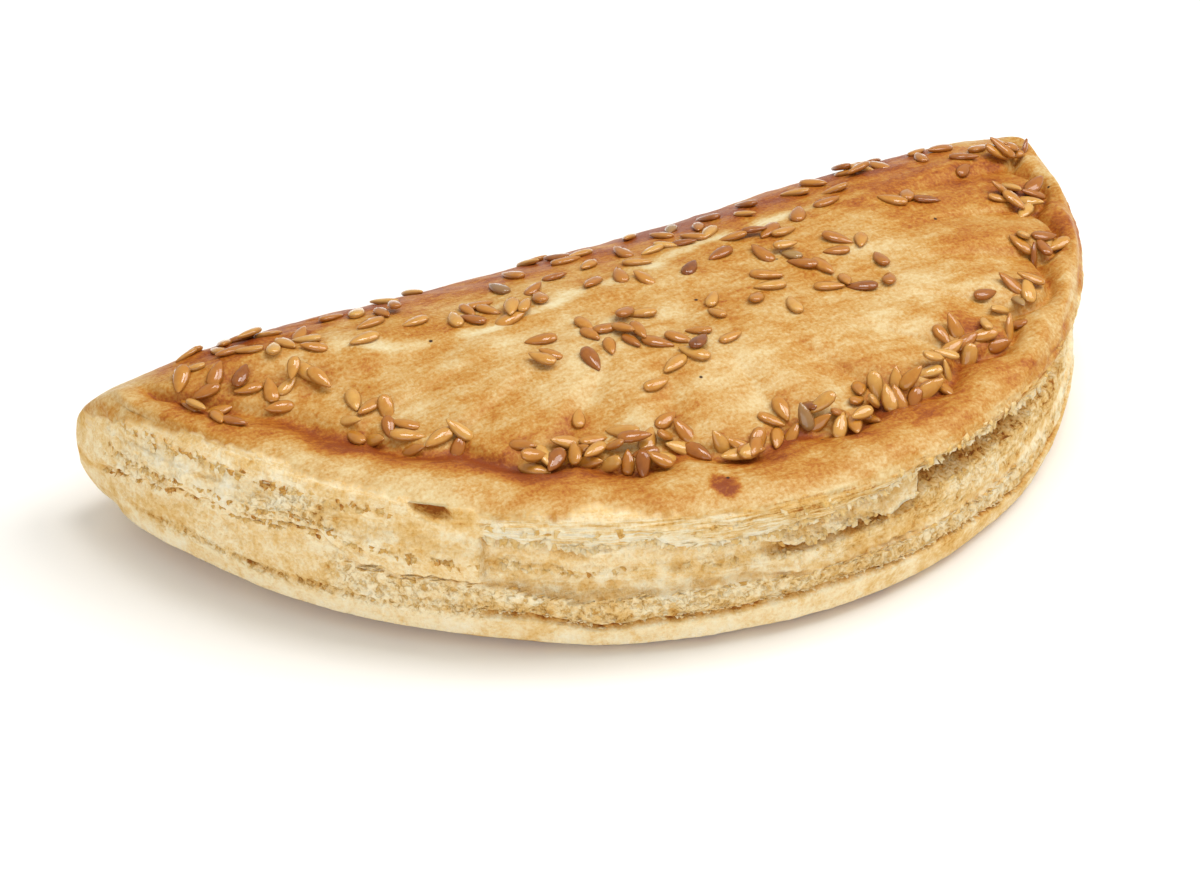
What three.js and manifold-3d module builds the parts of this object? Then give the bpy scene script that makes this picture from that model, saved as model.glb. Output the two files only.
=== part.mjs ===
// A half-moon empanada of puff pastry, strewn with golden flax seeds, in millimetres.
// +X runs along the fold from left tip to right tip, +Y from the curved cut edge to the fold, +Z up.
// The origin is on the table, under the middle of the pastry. The seeds are baked on, so all is one solid.
import * as THREE from "three";
import { mergeVertices } from "three/addons/utils/BufferGeometryUtils.js";
import Module from "manifold-3d";

// Driving dimensions of the half-moon
const LENGTH = 180; // tip to tip along the fold
const CURVE_DEPTH = 87; // from the line between the tips to the curved edge
const FOLD_BULGE = 7; // how far the fold bows out behind that line
const LIP_HEIGHT = 25.5; // top of the crust's lip on the cut edge
const FOLD_RADIUS = 12.5; // of the rolled fold, which is widest at this height
const EDGE_HEIGHT = 25; // top of the pastry at its edge, and at the crown of its filled middle
const DOME_HEIGHT = 32;
const CREASE_LEFT = 15; // pressed crease, measured in from the cut edge on its left and right halves
const CREASE_RIGHT = 6;
const CREASE_TIP = 7; // and at the left tip
const SEED_LENGTH = 5;
const SEED_WIDTH = 2.8;
const SEED_THICKNESS = 2;

// Finer shape
const CURVE_POWER = 1.87; // superellipse powers: 2 is an ellipse, more is squarer
const FOLD_POWER = 2.4;
const LEAN = 0.03; // the curved edge leans this share of its depth towards the right tip
const FOLD_LINE_Y = (CURVE_DEPTH - FOLD_BULGE) / 2; // puts the origin midway across
const SPINE_SHARE = 0.8; // insets run towards a spine this share of the length, in front of the fold
const SPINE_Y = FOLD_LINE_Y - 16;
const SPINE_FOLLOW = 0.5; // the spine bends towards the curved edge by this share of the way
const EDGE_BLEND = 13; // the fold turns into the cut edge over this depth at each tip
const FOLD_TUCK = 0.65; // the fold's underside tucks in by this share of its radius
const CROWN = new THREE.Vector2(2, 10);
const RISE_REACH = 0.5; // the top rises to the crown over this share of the way in from the cut edge
const ROUNDING = 37; // and rounds down to the fold over this depth in the middle, less towards the tips
const CREASE_TURN = [0.45, 0.8]; // shares of the way round between which the crease nears the edge
const CREASE_LEAVE = [0, 0.17]; // and between which it leaves the left tip
const CRIMPS = 14; // finger presses along the crease
const CRIMP_DEPTH = 3.6;
const CRIMP_MEAN = 0.6; // the crease's mean place within a press
const CRIMP_START = [0.1, 0.35]; // shares of the way round over which the presses deepen
const FLAT_HALF_LENGTH = 30; // the base is flat this far each side of the middle, then its ends curl up
const CURL_LEFT = 3.5;
const CURL_RIGHT = 1;
const CURL_POWER = 1.5;
const TAPER_LEFT = 0.12; // share of the thickness that the left tip loses
const TAPER_POWER = 4;
const CONTACT_SHARE = 0.6; // the flat spot that it rests on, as a share of the base
const RECESS_START = [0.27, 0.3]; // shares of the way round where the layers under the lip fall back
const GAP_START = [0.5, 0.58]; // and where a torn gap opens under it
const GAP_DEPTH = 4.5;
const SHOULDER_END = [0.08, 0.26]; // shares of the way round where the left end's round shoulder sharpens

// Mesh density
const CUT_STATIONS = 68;
const FOLD_STATIONS = 28;
const FOLD_CROWDING = 0.6; // how much the fold's stations crowd towards the tips, from 0 to 1
const DOME_STEPS = [0.2, 0.45, 0.72]; // each ring on the dome has half the points of the one outside it

// Profile of the cut edge from the base up to the lip: inset from the outline, how much farther in it is in
// the recess, height as a share of the lip's, how far its torn layers wander, its share in the gap, and how
// far the left end's shoulder is rounded off, as a share of the crease's inset.
const CUT_EDGE = [
  { inset: 10, recess: 0, rise: 0, wander: 0, gap: 0, shoulder: 0 },
  { inset: 4.4, recess: 0, rise: 0.03, wander: 0.2, gap: 0, shoulder: 0 },
  { inset: 1.8, recess: 0, rise: 0.09, wander: 0.3, gap: 0, shoulder: 0 },
  { inset: 0.9, recess: 0, rise: 0.17, wander: 0.4, gap: 0, shoulder: 0 },
  { inset: 1.6, recess: 0.6, rise: 0.22, wander: 0.5, gap: 0, shoulder: 0 },
  { inset: 1, recess: 0, rise: 0.27, wander: 0.7, gap: 0, shoulder: 0 },
  { inset: 1.1, recess: 0, rise: 0.41, wander: 0.7, gap: 0, shoulder: 0 },
  { inset: 0.9, recess: 1.9, rise: 0.47, wander: 0.6, gap: 0, shoulder: 0 },
  { inset: 0.5, recess: 2, rise: 0.62, wander: 0.6, gap: 0.5, shoulder: 0 },
  { inset: 0.4, recess: 2.7, rise: 0.76, wander: 0.5, gap: 1, shoulder: 0 },
  { inset: 0.5, recess: 0.3, rise: 0.82, wander: 0.5, gap: 0.1, shoulder: 0.03 },
  { inset: 0.1, recess: 0, rise: 0.91, wander: 0.3, gap: 0, shoulder: 0.08 },
  { inset: 0.9, recess: 0, rise: 1, wander: 0.2, gap: 0, shoulder: 0.18 },
];
// The rim that follows, up to the foot of the dome: inset as a share of the crease's, height above the lip.
const RIM = [
  { share: 0.35, above: 1.7 },
  { share: 0.7, above: 1.5 },
  { share: 1, above: 0.2 },
  { share: 1.22, above: 1.9 },
];

// Seeds that gathered in the crease: the shares of the way round the cut edge that each drift lies between,
// and how far in from the crease it spreads.
const CREASE_SEEDS = [
  { from: 0.19, to: 0.255, spread: 8, count: 10 },
  { from: 0.267, to: 0.287, spread: 4, count: 3 },
  { from: 0.325, to: 0.44, spread: 5, count: 24 },
  { from: 0.44, to: 0.475, spread: 3, count: 7 },
  { from: 0.49, to: 0.555, spread: 6, count: 14 },
  { from: 0.56, to: 0.63, spread: 5, count: 14 },
  { from: 0.645, to: 0.695, spread: 6, count: 9 },
  { from: 0.705, to: 0.75, spread: 6, count: 7 },
  { from: 0.78, to: 0.82, spread: 6, count: 6 },
  { from: 0.85, to: 0.89, spread: 8, count: 8 },
  { from: 0.945, to: 0.965, spread: 5, count: 7 },
];
// Seeds strewn over the top, in ovals parallel to the fold.
const STREWN_SEEDS = [
  { x: -67, y: 23.5, halfLength: 12.5, halfWidth: 14, count: 31 },
  { x: -37, y: 27, halfLength: 15, halfWidth: 11, count: 12 },
  { x: -24, y: 16, halfLength: 6, halfWidth: 4, count: 5 },
  { x: -8, y: 25, halfLength: 13, halfWidth: 16, count: 15 },
  { x: 16, y: 24, halfLength: 18, halfWidth: 14, count: 20 },
  { x: 55, y: 26, halfLength: 24, halfWidth: 13, count: 21 },
  { x: 27, y: 1.5, halfLength: 15, halfWidth: 10.5, count: 16 },
  { x: -5, y: -3, halfLength: 15, halfWidth: 9, count: 15 },
  { x: -21, y: 2, halfLength: 13, halfWidth: 6, count: 7 },
  { x: -20, y: -16, halfLength: 24, halfWidth: 7, count: 5 },
];
const RANDOM_START = 20;
const SEED_GAP = 2.1; // nearest that two seeds' middles come
const SEED_TRIES = 30;
const SEED_SIZES = [0.85, 1.15]; // smallest and largest, as shares of the usual size
const CREASE_TILT = 0.6; // greatest lean of a seed, in radians
const STREWN_TILT = 0.15;
const SEED_SINK = 0.5; // share of its thickness that a seed is pressed in

const clamp01 = (t) => Math.min(1, Math.max(0, t));
const smooth = (t) => THREE.MathUtils.smoothstep(t, 0, 1);
const mix = THREE.MathUtils.lerp;

// Half of the plan outline, as a superellipse: the cut edge from left tip to right tip, or the fold back.
class HalfOutline extends THREE.Curve {
  constructor(isCut) {
    super();
    this.isCut = isCut;
    this.arcLengthDivisions = 2000;
  }
  getPoint(t, target = new THREE.Vector2()) {
    const angle = Math.PI * (this.isCut ? 1 + t : t);
    const power = 2 / (this.isCut ? CURVE_POWER : FOLD_POWER);
    const along = Math.cos(angle);
    const across = Math.abs(Math.sin(angle)) ** power;
    const x = (LENGTH / 2) * Math.sign(along) * Math.abs(along) ** power;
    const y = this.isCut ? -CURVE_DEPTH * across : FOLD_BULGE * across;
    return target.set(x - LEAN * Math.min(y, 0), y + FOLD_LINE_Y);
  }
}
const cutOutline = new HalfOutline(true);
const foldOutline = new HalfOutline(false);

// A point of the outline moved in towards the spine.
function insetPoint(outline, inset) {
  const spineY = SPINE_Y + SPINE_FOLLOW * Math.min(0, outline.y - SPINE_Y);
  const inward = new THREE.Vector2(SPINE_SHARE * outline.x, spineY).sub(outline);
  return outline.clone().add(inward.setLength(inset));
}

// How a torn layer wanders in and out along the cut edge, between about -1 and 1.
function wander(edge, row) {
  const turn = 2 * Math.PI;
  const long = Math.sin(turn * (3 * edge + 0.37 * row));
  const middle = Math.sin(turn * (8 * edge + 0.61 * row));
  const short = Math.sin(turn * (19 * edge + 0.23 * row));
  const shreds = Math.sin(turn * (41 * edge + 0.53 * row));
  return 0.4 * long + 0.3 * middle + 0.15 * short + 0.15 * shreds;
}

// The crease's inset: each finger press pushes it out towards the edge.
function creaseInset(edge) {
  const press = Math.abs(Math.sin(Math.PI * CRIMPS * edge));
  const leaving = mix(CREASE_TIP, CREASE_LEFT, THREE.MathUtils.smoothstep(edge, ...CREASE_LEAVE));
  const nearing = THREE.MathUtils.smoothstep(edge, ...CREASE_TURN);
  const depth = CRIMP_DEPTH * THREE.MathUtils.smoothstep(edge, ...CRIMP_START);
  return mix(leaving, CREASE_RIGHT, nearing) + depth * (CRIMP_MEAN - press);
}

// The cut edge's profile at a share of the way round it, as [inset, height] pairs.
function cutProfile(edge) {
  const recess = THREE.MathUtils.smoothstep(edge, ...RECESS_START);
  const gap = GAP_DEPTH * THREE.MathUtils.smoothstep(edge, ...GAP_START);
  const crease = creaseInset(edge);
  const shoulder = crease * (1 - THREE.MathUtils.smoothstep(edge, ...SHOULDER_END));
  const side = CUT_EDGE.map((row, k) => {
    const torn = row.inset + row.wander * wander(edge, k) + row.recess * recess + row.gap * gap;
    return [Math.max(0, torn + row.shoulder * shoulder), LIP_HEIGHT * row.rise];
  });
  const rim = RIM.map((row) => [row.share * crease, LIP_HEIGHT + row.above]);
  return [...side, ...rim];
}

// Height of the top at a point of the plan: it swells in from the cut edge, and rounds down to the fold.
function topHeight(x, y) {
  const out = Math.abs((2 * x) / LENGTH);
  const across = Math.max(0, FOLD_LINE_Y - y) / CURVE_DEPTH;
  const outness = (out ** CURVE_POWER + across ** CURVE_POWER) ** (1 / CURVE_POWER);
  const swelling = 1 - (1 - clamp01((1 - outness) / RISE_REACH)) ** 2;
  const foldY = FOLD_LINE_Y + FOLD_BULGE * clamp01(1 - out ** FOLD_POWER) ** (1 / FOLD_POWER);
  const reach = mix(ROUNDING, FOLD_RADIUS, Math.min(1, out ** 2));
  const toFold = clamp01(1 - (foldY - y) / reach);
  const top = mix(EDGE_HEIGHT, DOME_HEIGHT, swelling) - FOLD_RADIUS;
  return FOLD_RADIUS + top * Math.sqrt(1 - toFold ** 2);
}

// The fold's profile behind a point of the outline, with as many points as the cut edge's: round below its
// widest place, and the top's own height above it.
function foldProfile(start) {
  const count = CUT_EDGE.length + RIM.length;
  return Array.from({ length: count }, (_, k) => {
    const angle = Math.PI * (k / (count - 1) - 0.5);
    const inset = FOLD_RADIUS * (1 - Math.cos(angle));
    if (angle < 0) return [FOLD_TUCK * inset, FOLD_RADIUS * (1 + Math.sin(angle))];
    const plan = insetPoint(start, inset);
    return [inset, topHeight(plan.x, plan.y)];
  });
}

// The loops of points round the crust, from the base up to the foot of the dome.
function crustLoops() {
  const columns = [];
  for (const outline of [cutOutline, foldOutline]) {
    const stations = outline.isCut ? CUT_STATIONS : FOLD_STATIONS;
    for (let i = 0; i < stations; i++) {
      const even = i / stations;
      const crowded = (1 - Math.cos(Math.PI * even)) / 2;
      const share = mix(even, crowded, outline.isCut ? 0 : FOLD_CROWDING);
      const start = outline.getPointAt(share);
      const cutness = smooth((FOLD_LINE_Y - start.y) / EDGE_BLEND);
      const cut = cutProfile(outline.isCut ? share : 1 - share);
      const fold = foldProfile(start);
      columns.push(
        cut.map(([cutInset, cutHeight], k) => {
          const plan = insetPoint(start, mix(fold[k][0], cutInset, cutness));
          return new THREE.Vector3(plan.x, plan.y, mix(fold[k][1], cutHeight, cutness));
        }),
      );
    }
  }
  return columns[0].map((_, k) => columns.map((column) => column[k]));
}

// The dome's loops, from its foot towards the crown.
function domeLoops(foot) {
  return DOME_STEPS.map((step, level) =>
    foot
      .filter((_, i) => i % 2 ** (level + 1) === 0)
      .map((p) => {
        const x = mix(p.x, CROWN.x, step);
        const y = mix(p.y, CROWN.y, step);
        const footing = (p.z - topHeight(p.x, p.y)) * (1 - smooth(2 * step));
        return new THREE.Vector3(x, y, topHeight(x, y) + footing);
      }),
  );
}

// A point after baking: the ends got thinner and curled up from the table.
function settled(p) {
  const out = clamp01((Math.abs(p.x) - FLAT_HALF_LENGTH) / (LENGTH / 2 - FLAT_HALF_LENGTH));
  const [curl, taper] = p.x < 0 ? [CURL_LEFT, TAPER_LEFT] : [CURL_RIGHT, 0];
  return new THREE.Vector3(p.x, p.y, p.z * (1 - taper * out ** TAPER_POWER) + curl * out ** CURL_POWER);
}

// The triangles between two loops, where the upper has as many points as the lower or half as many.
function band(lower, upper) {
  const ratio = lower.length / upper.length;
  return upper.flatMap((point, i) => {
    const next = upper[(i + 1) % upper.length];
    const feet = [0, 1, ratio].map((j) => lower[(i * ratio + j) % lower.length]);
    const triangles = [[feet[0], feet[1], point], [feet[1], next, point]];
    if (ratio === 2) triangles.push([feet[1], feet[2], next]);
    return triangles;
  });
}

// The triangles between a loop and one point that closes it.
function cap(loop, apex) {
  return loop.map((point, i) => [point, loop[(i + 1) % loop.length], apex]);
}

// The bare pastry as a closed geometry.
function pastryGeometry() {
  const crust = crustLoops();
  const under = new THREE.Vector3(CROWN.x, 0, 0);
  const crown = new THREE.Vector3(CROWN.x, CROWN.y, topHeight(CROWN.x, CROWN.y));
  const contact = crust[0].map((p) => p.clone().lerp(under, 1 - CONTACT_SHARE));
  const loops = [contact, ...[...crust, ...domeLoops(crust.at(-1))].map((loop) => loop.map(settled))];
  const faces = loops.slice(1).flatMap((upper, k) => band(loops[k], upper));
  faces.push(...cap(loops.at(-1), crown), ...cap(contact.toReversed(), under));
  return new THREE.BufferGeometry().setFromPoints(faces.flat());
}

// A stream of numbers from 0 to 1 that is the same on every run.
function randomStream(start) {
  let state = start;
  return () => {
    state = (Math.imul(state, 1664525) + 1013904223) >>> 0;
    return state / 2 ** 32;
  };
}

// Where each seed lies in plan, its heading, its size and its lean, by drawing in one group after another.
function drawSeeds() {
  const random = randomStream(RANDOM_START);
  const seeds = [];
  const scatter = (count, tilt, drawPlace) => {
    for (let i = 0; i < count; i++) {
      let place = drawPlace();
      for (let tries = 1; tries < SEED_TRIES; tries++) {
        if (seeds.every((seed) => seed.place.distanceTo(place) > SEED_GAP)) break;
        place = drawPlace();
      }
      const heading = 2 * Math.PI * random();
      const size = mix(...SEED_SIZES, random());
      seeds.push({ place, heading, size, lean: tilt * (2 * random() - 1) });
    }
  };
  for (const group of CREASE_SEEDS) {
    scatter(group.count, CREASE_TILT, () => {
      const edge = mix(group.from, group.to, random());
      return insetPoint(cutOutline.getPointAt(edge), creaseInset(edge) + group.spread * random());
    });
  }
  for (const group of STREWN_SEEDS) {
    scatter(group.count, STREWN_TILT, () => {
      const angle = 2 * Math.PI * random();
      const reach = Math.sqrt(random());
      const x = group.x + group.halfLength * reach * Math.cos(angle);
      return new THREE.Vector2(x, group.y + group.halfWidth * reach * Math.sin(angle));
    });
  }
  return seeds;
}

// One seed as a flattened lozenge, long along Y.
function seedGeometry() {
  return new THREE.OctahedronGeometry(1).scale(SEED_WIDTH / 2, SEED_LENGTH / 2, SEED_THICKNESS / 2);
}

// The seed laid on the crust under its place in plan, turned to its heading and leaned.
function laidSeed(seed, pastry) {
  const above = new THREE.Vector3(seed.place.x, seed.place.y, 2 * DOME_HEIGHT);
  const [hit] = new THREE.Raycaster(above, new THREE.Vector3(0, 0, -1)).intersectObject(pastry);
  const turn = new THREE.Quaternion().setFromUnitVectors(new THREE.Vector3(0, 0, 1), hit.face.normal);
  turn.multiply(new THREE.Quaternion().setFromAxisAngle(new THREE.Vector3(0, 0, 1), seed.heading));
  turn.multiply(new THREE.Quaternion().setFromAxisAngle(new THREE.Vector3(1, 0, 0), seed.lean));
  const lift = SEED_THICKNESS * (0.5 - SEED_SINK);
  const centre = hit.point.clone().addScaledVector(hit.face.normal, lift);
  const size = new THREE.Vector3(seed.size, seed.size, seed.size);
  return seedGeometry().applyMatrix4(new THREE.Matrix4().compose(centre, turn, size));
}

const wasm = await Module();
wasm.setup();

// A geometry as a solid that can be joined to others.
function solidFrom(geometry) {
  const bare = geometry.clone();
  bare.deleteAttribute("normal");
  bare.deleteAttribute("uv");
  const merged = mergeVertices(bare);
  const vertProperties = merged.attributes.position.array;
  const triVerts = new Uint32Array(merged.index.array);
  return new wasm.Manifold(new wasm.Mesh({ numProp: 3, vertProperties, triVerts }));
}

// The triangles of the largest skin only, so a hollow that seeds close off is filled.
function outerSkin(triVerts) {
  const parent = new Map();
  const root = (v) => {
    while (parent.has(v)) v = parent.get(v);
    return v;
  };
  const join = (a, b) => {
    if (root(a) !== root(b)) parent.set(root(a), root(b));
  };
  for (let i = 0; i < triVerts.length; i += 3) {
    join(triVerts[i], triVerts[i + 1]);
    join(triVerts[i], triVerts[i + 2]);
  }
  const skins = Map.groupBy(triVerts, root);
  return [...skins.values()].reduce((a, b) => (a.length >= b.length ? a : b));
}

// A joined solid as a geometry again.
function geometryFrom(solid) {
  const mesh = solid.getMesh();
  const geometry = new THREE.BufferGeometry();
  geometry.setAttribute("position", new THREE.BufferAttribute(mesh.vertProperties, 3));
  return geometry.setIndex(outerSkin(mesh.triVerts));
}

const crustMaterial = new THREE.MeshStandardMaterial({ color: 0xd9a052, roughness: 0.6, metalness: 0 });
const pastry = new THREE.Mesh(pastryGeometry(), crustMaterial);
const seeded = drawSeeds().reduce(
  (solid, seed) => solid.add(solidFrom(laidSeed(seed, pastry))),
  solidFrom(pastry.geometry),
);
const empanada = new THREE.Mesh(geometryFrom(seeded), crustMaterial);
empanada.name = "empanada";
const part = new THREE.Group();
part.add(empanada);

export default part;
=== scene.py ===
# %% [markdown]
# # A puff-pastry empanada strewn with golden flax seeds
# The object is one baked half-moon of laminated dough: a rolled fold at the back, a curved cut edge whose
# layers tore open in the oven, a crease pressed by fingertips and a browned, egg-washed top. The frame
# holds it as one plain solid. This lesson gives it the fine relief of its layers, its baked colours and its
# seeds. All sizes below are in millimetres, and they turn into Blender's metres only when a mesh is made.

# %% Load the frame
import itertools

import bpy
import numpy as np
from mathutils import Matrix, Vector
from mathutils.bvhtree import BVHTree


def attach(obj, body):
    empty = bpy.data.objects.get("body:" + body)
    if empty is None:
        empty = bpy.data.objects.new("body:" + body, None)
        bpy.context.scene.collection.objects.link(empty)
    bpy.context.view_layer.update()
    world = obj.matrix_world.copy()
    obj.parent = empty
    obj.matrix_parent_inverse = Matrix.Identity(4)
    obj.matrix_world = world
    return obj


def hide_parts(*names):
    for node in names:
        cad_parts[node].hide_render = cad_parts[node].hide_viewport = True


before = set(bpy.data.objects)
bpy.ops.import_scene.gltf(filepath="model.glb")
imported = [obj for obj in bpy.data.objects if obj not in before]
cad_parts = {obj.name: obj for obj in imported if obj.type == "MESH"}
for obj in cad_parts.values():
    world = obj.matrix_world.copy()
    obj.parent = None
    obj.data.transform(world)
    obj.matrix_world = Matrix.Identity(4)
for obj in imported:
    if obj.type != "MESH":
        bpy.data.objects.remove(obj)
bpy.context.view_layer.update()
MM = 0.001

# %% [markdown]
# ## Camera
# A food picture like this is taken with a long lens from a little above the table. The camera could be set
# by eye in the viewport. Here it is described the way a photographer would: how far round it stands, how
# high it looks down from, how far away it is, and which point of the pastry is in the middle of the
# picture. Those few numbers can be fitted to a picture, and the camera's three axes follow from them.

# %% Camera
FIELD_OF_VIEW = 18  # degrees across the picture
TURN = 29.72  # degrees that the camera stands round from straight in front of the cut edge
ELEVATION = 32.63
DISTANCE = 629.8
AIM_ACROSS = -13.53  # the picture's middle, measured from the part's origin along the picture's own axes
AIM_UP = 7.56

turn, rise = np.radians((TURN, ELEVATION))
table_up = np.array([0, 0, 1])
across = np.array([np.cos(turn), -np.sin(turn), 0])
ahead = np.array([np.sin(turn), np.cos(turn), 0])
upward = table_up * np.cos(rise) + ahead * np.sin(rise)
view = ahead * np.cos(rise) - table_up * np.sin(rise)
stand = AIM_ACROSS * across + AIM_UP * upward - DISTANCE * view

camera_data = bpy.data.cameras.new("long_lens")
camera_data.lens_unit = "FOV"
camera_data.angle = np.radians(FIELD_OF_VIEW)
camera_data.clip_start = 10 * MM
camera = bpy.data.objects.new("long_lens", camera_data)
axes = np.eye(4)
axes[:3] = np.column_stack([across, upward, -view, stand * MM])
camera.matrix_world = Matrix(axes.tolist())
bpy.context.scene.collection.objects.link(camera)
bpy.context.scene.camera = camera
print("camera at", [round(v) for v in stand], "mm")

# %% [markdown]
# ## Colours and nodes
# Colours are given as sRGB hex values, but a shader works in linear light, so one function turns them.
# A second small function adds a shader node, sets its properties and plugs in numbers or other nodes,
# which keeps every material below a short list of steps.

# %% Helpers for materials
def to_linear(hex_colour):
    """sRGB hex to linear RGBA: x = channel / 255, then x / 12.92 if dark, else ((x + 0.055) / 1.055)^2.4."""
    channels = np.array([int(hex_colour[i:i + 2], 16) for i in (1, 3, 5)]) / 255
    linear = np.where(channels <= 0.04045, channels / 12.92, ((channels + 0.055) / 1.055) ** 2.4)
    return (*linear.tolist(), 1.0)


def node(tree, kind, inputs=(), out=0, stops=(), **settings):
    """Adds one node: inputs are numbers, colours or links, stops are a ramp's colours. Returns one output."""
    made = tree.nodes.new(kind)
    for name, value in settings.items():
        setattr(made, name, value)
    for i, (place, colour) in enumerate(stops):
        band = made.color_ramp.elements
        stop = band[i] if i < len(band) else band.new(place)
        stop.position = place
        stop.color = to_linear(colour)
    for socket, value in dict(inputs).items():
        if isinstance(value, bpy.types.NodeSocket):
            tree.links.new(value, made.inputs[socket])
        else:
            made.inputs[socket].default_value = value
    return made.outputs[out] if made.outputs else None


def new_material(name):
    """An empty material, and the tree that holds its nodes."""
    material = bpy.data.materials.new(name)
    material.use_nodes = True
    material.node_tree.nodes.clear()
    return material, material.node_tree


print("linear white:", to_linear("#ffffff"))

# %% [markdown]
# ## Floor and light
# The pastry lies on a plain white sweep. A soft box hangs high on the picture's right, so its shadow is
# soft and short and falls to the left. A smaller box straight overhead puts a small, sharp highlight on the
# near edge of every seed, and one low on the right another. A wide box beside the camera lights the torn
# side, and dim walls all round fill in the rest. The floor is a plain plane: it is a stage, not part of the
# object.

# %% Floor and light
FLOOR_HALF_SIZE = 3000
WALL_LIGHT = 0.54
# Name, width, watts, and place to the right of the picture's middle, behind it and above the floor.
SOFT_BOXES = (
    ("main_soft_box", 520, 4.3, (500, 120, 800)),
    ("overhead_soft_box", 280, 2.3, (20, 90, 900)),
    ("side_soft_box", 180, 0.7, (700, 150, 540)),
    ("front_soft_box", 800, 3.2, (-150, -920, 230)),
)

scene = bpy.context.scene
scene.view_settings.view_transform = "Standard"
world = bpy.data.worlds.new("dim_walls")
world.use_nodes = True
world.node_tree.nodes["Background"].inputs["Color"].default_value = to_linear("#fffdfb")
world.node_tree.nodes["Background"].inputs["Strength"].default_value = WALL_LIGHT
scene.world = world
for name, width, watts, (right, behind, above) in SOFT_BOXES:
    light = bpy.data.lights.new(name, "AREA")
    light.size = width * MM
    light.energy = watts
    soft_box = bpy.data.objects.new(name, light)
    hung_at = Vector(right * across + behind * ahead + above * table_up)
    soft_box.location = hung_at * MM
    soft_box.rotation_euler = hung_at.to_track_quat("Z", "Y").to_euler()
    scene.collection.objects.link(soft_box)
    print(name, "at", [round(v) for v in hung_at], "mm")

floor_mesh = bpy.data.meshes.new("floor")
corners = np.array([(-1, -1, 0), (1, -1, 0), (1, 1, 0), (-1, 1, 0)]) * FLOOR_HALF_SIZE * MM
floor_mesh.from_pydata(corners.tolist(), [], [(0, 1, 2, 3)])
floor = bpy.data.objects.new("floor", floor_mesh)
scene.collection.objects.link(floor)
# White painted board: matt, so it takes a soft shadow and shows no reflection.
floor_material, board_tree = new_material("white_painted_board")
board = node(board_tree, "ShaderNodeBsdfDiffuse", {"Color": to_linear("#fbfaf6"), "Roughness": 0.5})
node(board_tree, "ShaderNodeOutputMaterial", {"Surface": board})
floor_mesh.materials.append(floor_material)
print("floor", 2 * FLOOR_HALF_SIZE, "mm wide")

# %% [markdown]
# ## The half-moon in plan
# A turnover is a round of dough folded over, so its outline is two halves: a deep curved cut edge and a
# nearly straight fold. A traced curve would do, but two superellipses, rounder or squarer than an ellipse
# by their power, need only a few numbers. Points are spread along them by arc length, because the layers
# and finger presses are spaced by length, not by angle.

# %% Outline
LENGTH = 180  # tip to tip
CURVE_DEPTH = 87
FOLD_BULGE = 7
CURVE_POWER = 1.87
FOLD_POWER = 2.4
LEAN = 0.03  # share of its depth that the curved edge leans to the right
FOLD_LINE_Y = (CURVE_DEPTH - FOLD_BULGE) / 2
SPINE_SHARE = 0.8  # insets run towards a spine of this share of the length
SPINE_Y = FOLD_LINE_Y - 16
SPINE_FOLLOW = 0.5  # the spine bends towards the curved edge by this share of the way
CUT_COLUMNS = 608
FOLD_COLUMNS = 160
FOLD_CROWDING = 0.6  # how much the fold's points crowd towards the tips
ARC_SAMPLES = 2001  # points between which arc length is measured


def mix(a, b, t):
    """Straight blend from a to b."""
    return a + (b - a) * t


def smooth(t):
    """Smooth step: 3t^2 - 2t^3 between 0 and 1, flat outside."""
    t = np.clip(t, 0, 1)
    return t * t * (3 - 2 * t)


def ramp(t, start, end):
    """Smooth step between two values."""
    return smooth((t - start) / (end - start))


def half_outline(share, is_cut):
    """Superellipse |x/a|^n + |y/b|^n = 1 at shares of its arc length: the cut edge or the fold."""
    angle = np.pi * (np.linspace(0, 1, ARC_SAMPLES) + (1 if is_cut else 0))
    power = 2 / (CURVE_POWER if is_cut else FOLD_POWER)
    rounded = np.abs(np.sin(angle)) ** power
    x = LENGTH / 2 * np.sign(np.cos(angle)) * np.abs(np.cos(angle)) ** power
    y = -CURVE_DEPTH * rounded if is_cut else FOLD_BULGE * rounded
    points = np.column_stack([x - LEAN * np.minimum(y, 0), y + FOLD_LINE_Y])
    length = np.append(0, np.cumsum(np.linalg.norm(np.diff(points, axis=0), axis=1)))
    return np.column_stack([np.interp(share * length[-1], length, points[:, i]) for i in range(2)])


def inward_from(points):
    """Unit vectors from points of the outline towards the spine."""
    spine_y = SPINE_Y + SPINE_FOLLOW * np.minimum(0, points[:, 1] - SPINE_Y)
    aim = np.column_stack([SPINE_SHARE * points[:, 0], spine_y]) - points
    return aim / np.linalg.norm(aim, axis=1, keepdims=True)


cut_share = np.arange(CUT_COLUMNS) / CUT_COLUMNS
even = np.arange(FOLD_COLUMNS) / FOLD_COLUMNS
fold_share = mix(even, (1 - np.cos(np.pi * even)) / 2, FOLD_CROWDING)
outline = np.vstack([half_outline(cut_share, True), half_outline(fold_share, False)])
inward = inward_from(outline)
edge = np.append(cut_share, 1 - fold_share)
EDGE_BLEND = 13  # depth over which the fold turns into the cut edge at each tip
cutness = smooth((FOLD_LINE_Y - outline[:, 1]) / EDGE_BLEND)
print("outline of", len(outline), "columns")

# %% [markdown]
# ## Noise that dough is made of
# Dough is uneven at every size, from hand-sized swells to pores. Blender's textures could displace the
# mesh, but noise in numpy can be measured, masked and used again for colour. Soft noise blends random
# numbers that sit on a lattice. Cell distance measures how far a point is from the nearest of many
# scattered centres, which makes pores and blisters. Layer noise is soft noise that stays the same through
# one thin sheet of dough and changes in the next. All are worked out in space, so they have no seam.

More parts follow.
